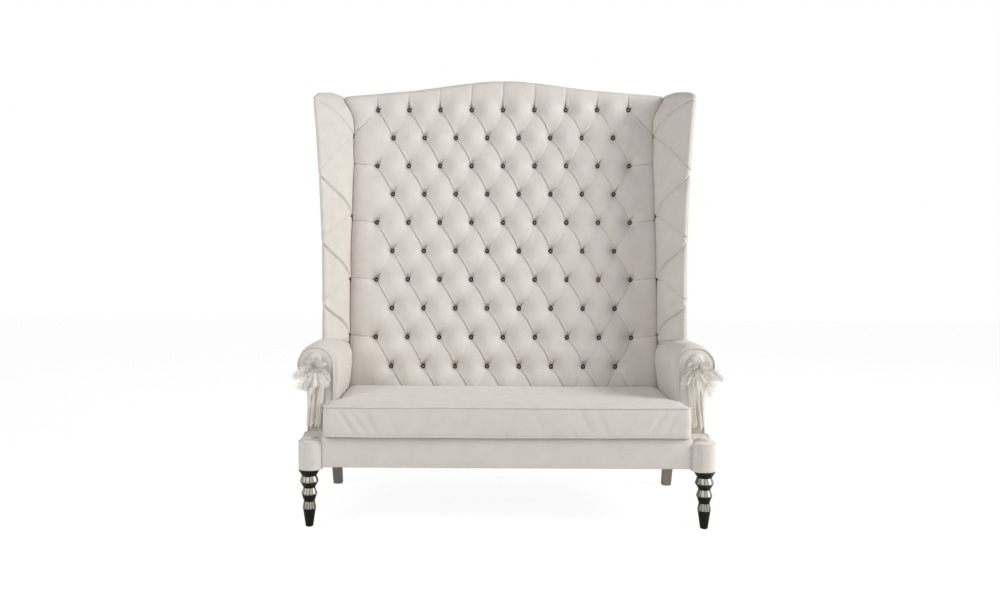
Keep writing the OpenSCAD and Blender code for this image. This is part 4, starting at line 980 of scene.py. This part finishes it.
def settleCushion(piece):
    # pulls are straight slanting bells drawn into the front, then all is kept in its space
    before, shaped = swell(piece)
    print("cushion swollen, moved up to mm", round(float(np.abs(shaped - before).max() * 1000), 1))
    x, y, z = shaped[:, 0], shaped[:, 1], shaped[:, 2]
    face = 1 - smooth(-0.375, -0.355, y)
    rise = (z - 0.35) / 0.115
    inFace = np.clip(rise * (1 - rise) * 4, 0, 1)
    for centre, lean, depth in cushion["pulls"]:
        y += face * inFace * depth * bell(x - centre - lean * (z - 0.41), 0.011)
    for centre, lean in cushion["pinches"]:
        pinch = face * 0.0030 * bell(x - centre - lean * (z - 0.36), 0.006)
        y += pinch * smooth(0.35, 0.356, z) * (1 - smooth(0.365, 0.385, z))
    z += smooth(0.455, 0.472, z) * 0.0016 * softNoise(x * 8, y * 10, 21)
    # it stays in its place between the arms, on the deck and before the back
    shaped[:, 0] = np.clip(x, -cushion["limitX"], cushion["limitX"])
    shaped[:, 2] = np.clip(z, cushion["lowZ"], cushion["limitZ"] + rearRise(y))
    shaped[:, 1] = np.clip(y, cushion["limitY"], innerY(shaped[:, 2]) - 0.0005)
    piece.data.vertices.foreach_set("co", shaped.astype(np.float32).ravel())
    piece.data.update()


seatCushion = makeCushion()
settleCushion(seatCushion)
fine = seatCushion.modifiers.new("fine", "SUBSURF")
fine.levels = fine.render_levels = 1
seatCushion.data.polygons.foreach_set("use_smooth", np.full(len(seatCushion.data.polygons), True))
seatCushion.data.materials.clear()
seatCushion.data.materials.append(ivoryNap)
finishPiece(seatCushion, ["seat_cushion_cover", "seat_cushion_core"], "seat_cushion")

for label, z, node in (("low", cushion["weltLow"], "bottom"), ("high", cushion["weltHigh"], "top")):
    x, y = cushionPlan(700).T
    lean = rearLean(y, z)
    wave = 0.0008 * softNoise(x * 9, y * 9, 31 if label == "low" else 32)
    if label == "low":  # at the right the front of the lower welt is drawn in
        lean += 0.0030 * smooth(-0.50, 0.10, x) * (y < -0.36)
        rise = 0.0004
    else:
        rise = rearRise(y) - 0.009 * smooth(-0.225, -0.12, y)
    line = coords(x, y + lean, z + wave + rise)
    welt = makeWelt("cushion_welt_" + label, line, cushion["weltR"], closed=True)
    finishPiece(welt, ["cushion_piping_" + node], body="seat_cushion")
print("seat cushion made")


# front border, blocks over the legs and their welted discs
border = {"half": 0.7133, "frontY": -0.3674, "backY": -0.3518, "lowZ": 0.2321, "highZ": 0.3498, "swell": 0.0016,
          "endDrop": 0.0168, "lowR": 0.005, "topR": 0.0085}
block = {
    "x": 0.7577, "innerX": 0.7052, "outerX": 0.7975, "frontY": -0.3875, "cornerR": 0.040, "rearY": -0.2187,
    "lowZ": 0.2222, "highZ": 0.3418, "capY": -0.3435, "capR": 0.0245, "weltR": 0.0026, "capWeltR": 0.0022,
    # how far each ring lies inside the plan, and its height above the foot or below the top
    "foot": ((0.014, 0.0), (0.004, 0.0), (0.0012, 0.0015), (0.0, 0.005)),
    "shoulder": ((0.0012, 0.0120), (0.0045, 0.0095), (0.010, 0.0068), (0.018, 0.0035), (0.027, 0.0012),
                 (0.034, 0.0), (0.040, 0.0)),
    "capProfile": ((0.97, -0.0060), (1.0, -0.0050), (1.0, 0.0040), (0.975, 0.0060), (0.93, 0.0068),
                   (0.8, 0.0076), (0.55, 0.0084), (0.25, 0.0087)),
}


def makeBorder():
    # one profile carried along x, its front face swollen by a half wave of sine
    x = np.linspace(-border["half"], border["half"], 240)[:, None]
    front, rear, low, high = border["frontY"], border["backY"], border["lowZ"], border["highZ"]
    # profile in y and z: up the rear, over the top, down the front, round the lower edge
    turn = angles(0, 90, 6)
    r, topR = border["lowR"], border["topR"]
    profile = np.concatenate([
        [[rear, low], [rear, (low + high) / 2], [rear, high]],
        coords(front + topR - topR * np.sin(turn), high - topR + topR * np.cos(turn)),
        coords(np.full(22, front), np.linspace(high - topR, low + r, 24)[1:-1]),
        coords(front + r - r * np.cos(turn), low + r - r * np.sin(turn))])
    y, z = profile[:, 0], profile[:, 1]
    face = smooth(0.0086, 0.0, y - front)
    rise = (z - low) / (high - low)
    # it curves back into the blocks at its ends
    end = np.maximum(np.abs(x) - (border["half"] - 0.030), 0) / 0.030
    wave = 0.0006 * softNoise(x * 6, rise * 3, 41)
    y = y + face * (-border["swell"] * np.sin(math.pi * rise) + wave + 0.010 * end ** 2)
    y = y + face * 0.0012 * bell(z - low - 0.010, 0.0018)  # the stitched edge above the bottom
    z = z - rise * border["endDrop"] * smooth(0.7035, 0.7120, np.abs(x))
    return closedTube("front_border_cover", coords(x, y, z), ivoryNap)


def blockPlan(inset, count=96):
    # round corners at the front, cut ones at the rear, drawn in all round by the inset
    r = max(block["cornerR"] - inset, 0.003)
    inner, outer = block["innerX"] + inset, block["outerX"] - inset
    front, rear, cut = block["frontY"] + inset, block["rearY"] - inset, 0.004
    first = onCircle(inner + r, front + r, r, angles(180, 270, 14))
    second = onCircle(outer - r, front + r, r, angles(270, 360, 14))
    corners = [[outer, rear - cut], [outer - cut, rear], [inner + cut, rear], [inner, rear - cut]]
    return evenly(np.concatenate([first, second, corners, first[:1]]), count + 1)[:-1]


def rearward(y):  # 1 at the rear of a block, where its top runs level up to the arm
    return smooth(block["rearY"] - 0.07, block["rearY"] - 0.01, y)


def makeBlock(name, flip):
    # rings of the plan, drawn in at the foot and over the shoulder, but raised level with the top at the rear
    low, high = block["lowZ"], block["highZ"]
    rings = [(inset, low + up) for inset, up in block["foot"]]
    rings += [(0.0006 - 0.0006 * math.sin(math.pi * k), low + (high - low) * k)
              for k in np.linspace(0.08, 0.86, 14)]
    rings += [(inset, high - down) for inset, down in block["shoulder"]]
    points = []
    for inset, z in rings:
        plan = blockPlan(inset)
        height = z + (high - z) * rearward(plan[:, 1]) if z > low + 0.1 else z
        points.append(atHeight(plan, height))
    plan = blockPlan(0.0018, 160)
    path = atHeight(plan, high - 0.0004 - 0.0122 * (1 - rearward(plan[:, 1])))
    return merged(name, [closedTube(name, mirrored(np.stack(points), flip), ivoryNap),
                         makeWelt(name + "Welt", mirrored(path, flip), block["weltR"], closed=True)], ivoryNap)


def makeCap(name, flip):
    # rings of a circle, one for each step of the profile, and a welt round them
    def ringAt(reach, rise):  # a circle round the disc's middle, at its height
        ring = onCircle(block["x"], block["capY"], reach, fullTurn(72))
        return mirrored(atHeight(ring, block["highZ"] + rise), flip)

    rings = np.stack([ringAt(block["capR"] * share, rise) for share, rise in block["capProfile"]])
    line = ringAt(block["capR"] - block["capWeltR"], 0.0056)
    welt = makeWelt(name + "Welt", line, block["capWeltR"], closed=True)
    return merged(name, [closedTube(name, rings, ivoryNap), welt], ivoryNap)


finishPiece(makeBorder(), ["front_border"])
for side, flip in sides:
    finishPiece(makeBlock("block_" + side, flip), ["block_cover_" + side])
    finishPiece(makeCap("cap_" + side, flip), ["block_cap_" + side])
print("border and blocks made")


# outside back and outside arms
outside = {
    "thick": 0.0157, "lowZ": 0.2325, "sideZ": 1.7395, "crown": 0.0035, "seamX": 0.365, "rollR": 0.0857,
    "rollLow": 0.5376, "rollHigh": 0.698, "armX": 0.7899, "armThick": 0.0056, "armTopZ": 0.5385,
    "armFrontY": -0.2184, "postDrop": 0.0102, "weltR": 0.0028, "weltIn": 0.0012,
}


def backHalfAt(z):  # half width of the outside back: narrow beside the wings, round behind the arm rolls
    roll = settee["rollX"] + np.sqrt(np.maximum(outside["rollR"] ** 2 - (z - settee["rollZ"]) ** 2, 0))
    wide = np.where(z < outside["rollHigh"], roll, settee["panelHalf"])
    wide = np.where(z <= outside["rollLow"], outside["armX"], wide)
    return np.maximum(wide, settee["panelHalf"])


def makeOutsideBack():
    # a grid over the panel up to the crest, crowned by the root of the lesser of two flat-topped arches
    u = np.sin(np.linspace(-math.pi / 2, math.pi / 2, 150))[None]
    u = 0.5 * u + 0.5 * np.linspace(-1, 1, 150)[None]
    t = np.linspace(0, 1, 190)[:, None]
    low, sideZ, crestHalf = outside["lowZ"], outside["sideZ"], settee["crestHalf"]
    x = u * backHalfAt(low + (sideZ - low) * t)
    over = np.clip((np.abs(x) - crestHalf) / (settee["panelHalf"] - crestHalf), 0, 1)
    edge = crestAt(np.minimum(np.abs(x), crestHalf)) - 0.0003 + (sideZ - crestAt(crestHalf)) * over
    z = low + (edge - low) * t
    side, tall = 1 - np.abs(u) ** 8, 1 - np.abs(2 * t - 1) ** 10
    crown = outside["crown"] * np.minimum(side, tall) ** 0.5
    crown = crown - 0.0025 * bell(np.abs(x) - outside["seamX"], 0.0022) * (tall > 0.02)
    crown = crown + 0.0006 * softNoise(x * 5, z * 5, 51) * side * tall
    rear = coords(x, outerY(z) - 0.0008 + crown - 0.0008 - 0.004 * (np.abs(u) > 0.999), z)
    front = coords(x * 0.9999, outerY(z) - outside["thick"], z)[:, ::-1]
    body = closedTube("outside_back_cover", np.concatenate([rear, front], 1), ivoryNap, strip=True)
    # a welt runs round its edge
    line = np.concatenate([rear[:, -1], rear[-1, ::-1][1:], rear[::-1, 0][1:], rear[0, 1:-1]])
    line = evenly(np.concatenate([line, line[:1]]), 1300)[:-1]
    line[:, 1] = outerY(line[:, 2]) - outside["weltIn"]
    line[:, 0] *= 0.9965
    line[:, 2] = np.clip(line[:, 2], low + outside["weltR"], None) - 0.0022 * (line[:, 2] > 1.7)
    welt = makeWelt("backWelt", line, outside["weltR"], closed=True)
    return merged("outside_back_cover", [body, welt], ivoryNap)


def makeOutsideArm(name, flip):
    # a grid over the panel, raised inside its edges by a power of the product of two arches
    u, t = np.linspace(0, 1, 90)[:, None], np.linspace(0, 1, 60)[None]
    high, front = outside["armTopZ"], outside["armFrontY"]
    rear = outerY(outside["lowZ"] + (high - outside["lowZ"]) * t) - 0.0150
    y = front + (rear - front) * u
    lowEdge = outside["lowZ"] - outside["postDrop"] * (1 - smooth(-0.162, -0.150, y))
    z = lowEdge + (high - lowEdge) * t
    inside = (np.clip(4 * u * (1 - u), 0, 1) * np.clip(4 * t * (1 - t), 0, 1)) ** 0.35
    x = outside["armX"] - 0.0022 + 0.0030 * inside + 0.0005 * softNoise(y * 9, z * 9, 52) * inside
    inner = coords(outside["armX"] - outside["armThick"], y, z)[:, ::-1]
    return closedTube(name, mirrored(np.concatenate([coords(x, y, z), inner], 1), flip), ivoryNap, strip=True)


finishPiece(makeOutsideBack(), ["outside_back"])
bothSides(makeOutsideArm, "outside_arm_cover_", "outside_arm_")
print("outside panels made")


# tassels: silk ribbons and a feather rosette on each arm
tassel = {
    "x": 0.752, "ropeY": -0.2265, "topZ": 0.606, "lowZ": 0.355, "ribbons": 9, "ribbonW": 0.0130,
    "thick": 0.0007,
    "short": (0.0, 0.004, 0.010, 0.002, 0.016, 0.0, 0.006, 0.012, 0.001),  # how much each ribbon ends higher
    "loopZ": 0.622, "loopHalf": (0.0045, 0.0205), "loopR": 0.0014,
    "plumes": 52, "wisps": 700, "middle": (0.752, -0.2440, 0.606), "frontmost": -0.2325,
    # where the plumes point: two angles, the shortest and the longest, and the share of plumes
    "sectors": ((-75, -5, 0.055, 0.098, 0.32), (-125, -75, 0.050, 0.082, 0.24),
                (-165, -125, 0.045, 0.076, 0.20), (-5, 190, 0.030, 0.054, 0.24)),
}


def makeRibbons(name, flip):
    # strips: a line that runs down in small sine waves, with a width that turns about it
    rng = np.random.default_rng(8)
    x, ropeY, high = tassel["x"], tassel["ropeY"], tassel["topZ"]
    t = np.linspace(0, 1, 46)[:, None]
    across = np.linspace(-0.5, 0.5, 7)[None]
    taper = 1 - smooth(0.93, 1.0, t) * 0.9  # cut to a point
    pieces, area = [], 0.0
    for k in range(tassel["ribbons"]):
        share = k / (tassel["ribbons"] - 1)
        top = x - 0.036 + 0.064 * share
        low = x - 0.007 + 0.039 * share + rng.uniform(-0.002, 0.002)
        foot = tassel["lowZ"] + tassel["short"][k] + 0.002 * rng.uniform()
        width = tassel["ribbonW"] * rng.uniform(0.85, 1.1)
        mid = top + (low - top) * t ** 1.3 + 0.0016 * np.sin(t * rng.uniform(5, 8) + rng.uniform(0, 6))
        mid = x + (mid - x) * smooth(-0.12, 0.2, t)
        layer = ropeY - 0.0035 - 0.0022 * (k % 3) + 0.0012 * np.sin(t * 6 + k)
        turn = rng.uniform(-0.35, 0.35) + 0.3 * np.sin(t * rng.uniform(3, 6) + rng.uniform(0, 6))
        cup = 0.0012 * np.cos(across * math.pi)
        face = coords(mid + width * across * np.cos(turn) * taper,
                      layer + width * across * np.sin(turn) * taper * 0.6 - cup, high + (foot - high) * t)
        area += width * (high - foot) * 0.965
        ring = np.concatenate([face, (face + np.array([0, tassel["thick"], 0]))[:, ::-1]], 1)
        pieces.append(closedTube("ribbon%d" % k, mirrored(ring, flip), silkRibbon, strip=True))
    return merged(name, pieces, silkRibbon), area


def makePlumes(name, flip, seed):
    # each plume is a curved quill with tapering barbs on both sides; loose wisps of down fill the middle
    rng = np.random.default_rng(seed)
    points, faces = [], []
    start = 0
    centre = np.array(tassel["middle"])

    def curve(theta, lift, length, droop, t):  # out from the middle, then down under its own weight
        out = np.array([math.cos(theta) * math.cos(lift), -math.sin(lift), math.sin(theta) * math.cos(lift)])
        path = centre + out * length * t[:, None]
        path[:, 2] -= droop * length * t ** 2
        path[:, 1] -= 0.004 * np.sin(math.pi * t)
        path[:, 1] = np.minimum(path[:, 1], tassel["frontmost"] - 0.0005)
        return path

    chances = [sector[4] for sector in tassel["sectors"]]
    for _ in range(tassel["plumes"]):
        low, high, short, long, _ = tassel["sectors"][rng.choice(len(chances), p=chances)]
        theta = math.radians(rng.uniform(low, high))
        lift = rng.uniform(0.05, 0.55)
        length = rng.uniform(short, long)
        t = np.linspace(0.04, 1, 26)
        path = curve(theta, lift, length, rng.uniform(0.05, 0.5), t)
        ahead = unit(np.gradient(path, axis=0))
        side = unit(np.cross(ahead, [0, 1, 0]))
        roll = rng.uniform(-0.5, 0.5)
        side = side * math.cos(roll) + np.array([0, -1, 0]) * math.sin(roll)
        half = length * rng.uniform(0.16, 0.26) * np.sin(np.clip(t, 0, 1) * 2.6 + 0.25) ** 0.8
        for sign in (-1, 1):
            tip = path + ahead * half[:, None] * 0.9
            tip = tip + side * (half * sign * rng.uniform(0.6, 1.25, len(t)))[:, None]
            tip[:, 1] -= 0.002 * rng.uniform(-0.5, 1, len(t))
            tip[:, 1] = np.minimum(tip[:, 1], tassel["frontmost"])
            barb = np.stack([path - ahead * 0.0018, path + ahead * 0.0020, tip + ahead * 0.0010, tip], 1)
            points.append(barb.reshape(-1, 3))
            faces.append(np.arange(len(points[-1])).reshape(-1, 4) + start)
            start += len(points[-1])
    for _ in range(tassel["wisps"]):
        theta, lift = rng.uniform(0, 2 * math.pi), rng.uniform(-0.05, 1.2)
        length = rng.uniform(0.018, 0.058)
        t = np.linspace(0.1, 1, 5)
        path = curve(theta, lift, length, rng.uniform(-0.3, 0.7), t) + rng.normal(0, 0.004, 3) * [1, 0.2, 1]
        path[:, 1] = np.minimum(path[:, 1], tassel["frontmost"])
        wide = 0.0009 * (1 - t)[:, None] * np.array([math.sin(theta), 0, -math.cos(theta)]) + 0.0001
        points.append(np.stack([path - wide, path + wide], 1).reshape(-1, 3))
        faces.append(np.arange(4)[:, None] * 2 + [0, 1, 3, 2] + start)
        start += len(points[-1])
    return makeMesh(name, mirrored(np.concatenate(points), flip), [np.concatenate(faces)], featherVane)


for side, flip in sides:
    body = "tassel_" + side
    ribbons, area = makeRibbons("ribbons_" + side, flip)
    finishPiece(ribbons, ["tassel_ribbons_" + side], body=body)
    turn = np.linspace(0, 1, 24)[:-1] * 2 * math.pi + math.pi / 2
    wide, tall = tassel["loopHalf"]
    loop = coords(tassel["x"] + wide * np.cos(turn), tassel["ropeY"], tassel["loopZ"] + tall * np.sin(turn))
    loop = makeWelt("loop_" + side, mirrored(loop, flip), tassel["loopR"], silkRibbon, closed=True)
    finishPiece(loop, body=body)
    plumes = makePlumes("feathers_" + side, flip, 9 if flip else 4)
    finishPiece(plumes, ["feather_rosette_" + side], body=body)
print("tassels made")


# silver leaf bands on the front legs
leg = {
    "x": 0.7577, "y": -0.3435, "r": 0.0405, "lowZ": 0.003, "highZ": 0.222, "facets": 14,
    "gap": 0.16, "turn": 0.22, "sunk": 0.002, "leafOut": 0.0005, "ribOut": 0.0013,
    # share of the radius at each share of the height, upwards, and the heights of the silver bands
    "shares": ((0.368, 0), (0.39, 0.03), (0.607, 0.315), (0.494, 0.432), (0.733, 0.568), (0.526, 0.671),
               (0.862, 0.784), (0.667, 0.883), (1, 0.985), (1, 1)),
    "bands": ((0.0705, 0.0975), (0.1260, 0.1500), (0.1730, 0.1962)),
}


def legRadius(z):
    # straight lines between the shares of the radius at the shares of the height
    shares = np.array(leg["shares"])
    return leg["r"] * np.interp(z, leg["lowZ"] + (leg["highZ"] - leg["lowZ"]) * shares[:, 1], shares[:, 0])


def legBars(name, lift, width, shift, material, flip):
    # upright bars round each cone: flat leaves of silver, or the raised black ribs between them
    pieces = []
    step = 2 * math.pi / leg["facets"]
    for low, high in leg["bands"]:
        z = np.linspace(low, high, 7)
        for k in range(leg["facets"]):
            ring = []
            for side, out in ((-1, -leg["sunk"]), (-1, lift), (1, lift), (1, -leg["sunk"])):
                angle = (k + shift) * step + leg["turn"] + side * width * step / 2
                # the outer side of a bar is flat, so its edges lie at the radius divided by the cosine
                reach = (legRadius(z) + out) / (math.cos(width * step / 2) if out > 0 else 1)
                ring.append(coords(leg["x"] + reach * math.cos(angle), leg["y"] + reach * math.sin(angle), z))
            pieces.append(closedTube("bar", mirrored(np.stack(ring, 1), flip), material))
    made = merged(name, pieces, material)
    made.data.polygons.foreach_set("use_smooth", np.zeros(len(made.data.polygons), bool))
    return made


for side, flip in sides:
    leaves = legBars("leg_silver_" + side, leg["leafOut"], 1 - leg["gap"], 0.0, silverLeaf, flip)
    finishPiece(leaves)
    ribs = legBars("leg_ribs_" + side, leg["ribOut"], leg["gap"], 0.5, blackLacquer, flip)
    finishPiece(ribs)
print("leg bands made")
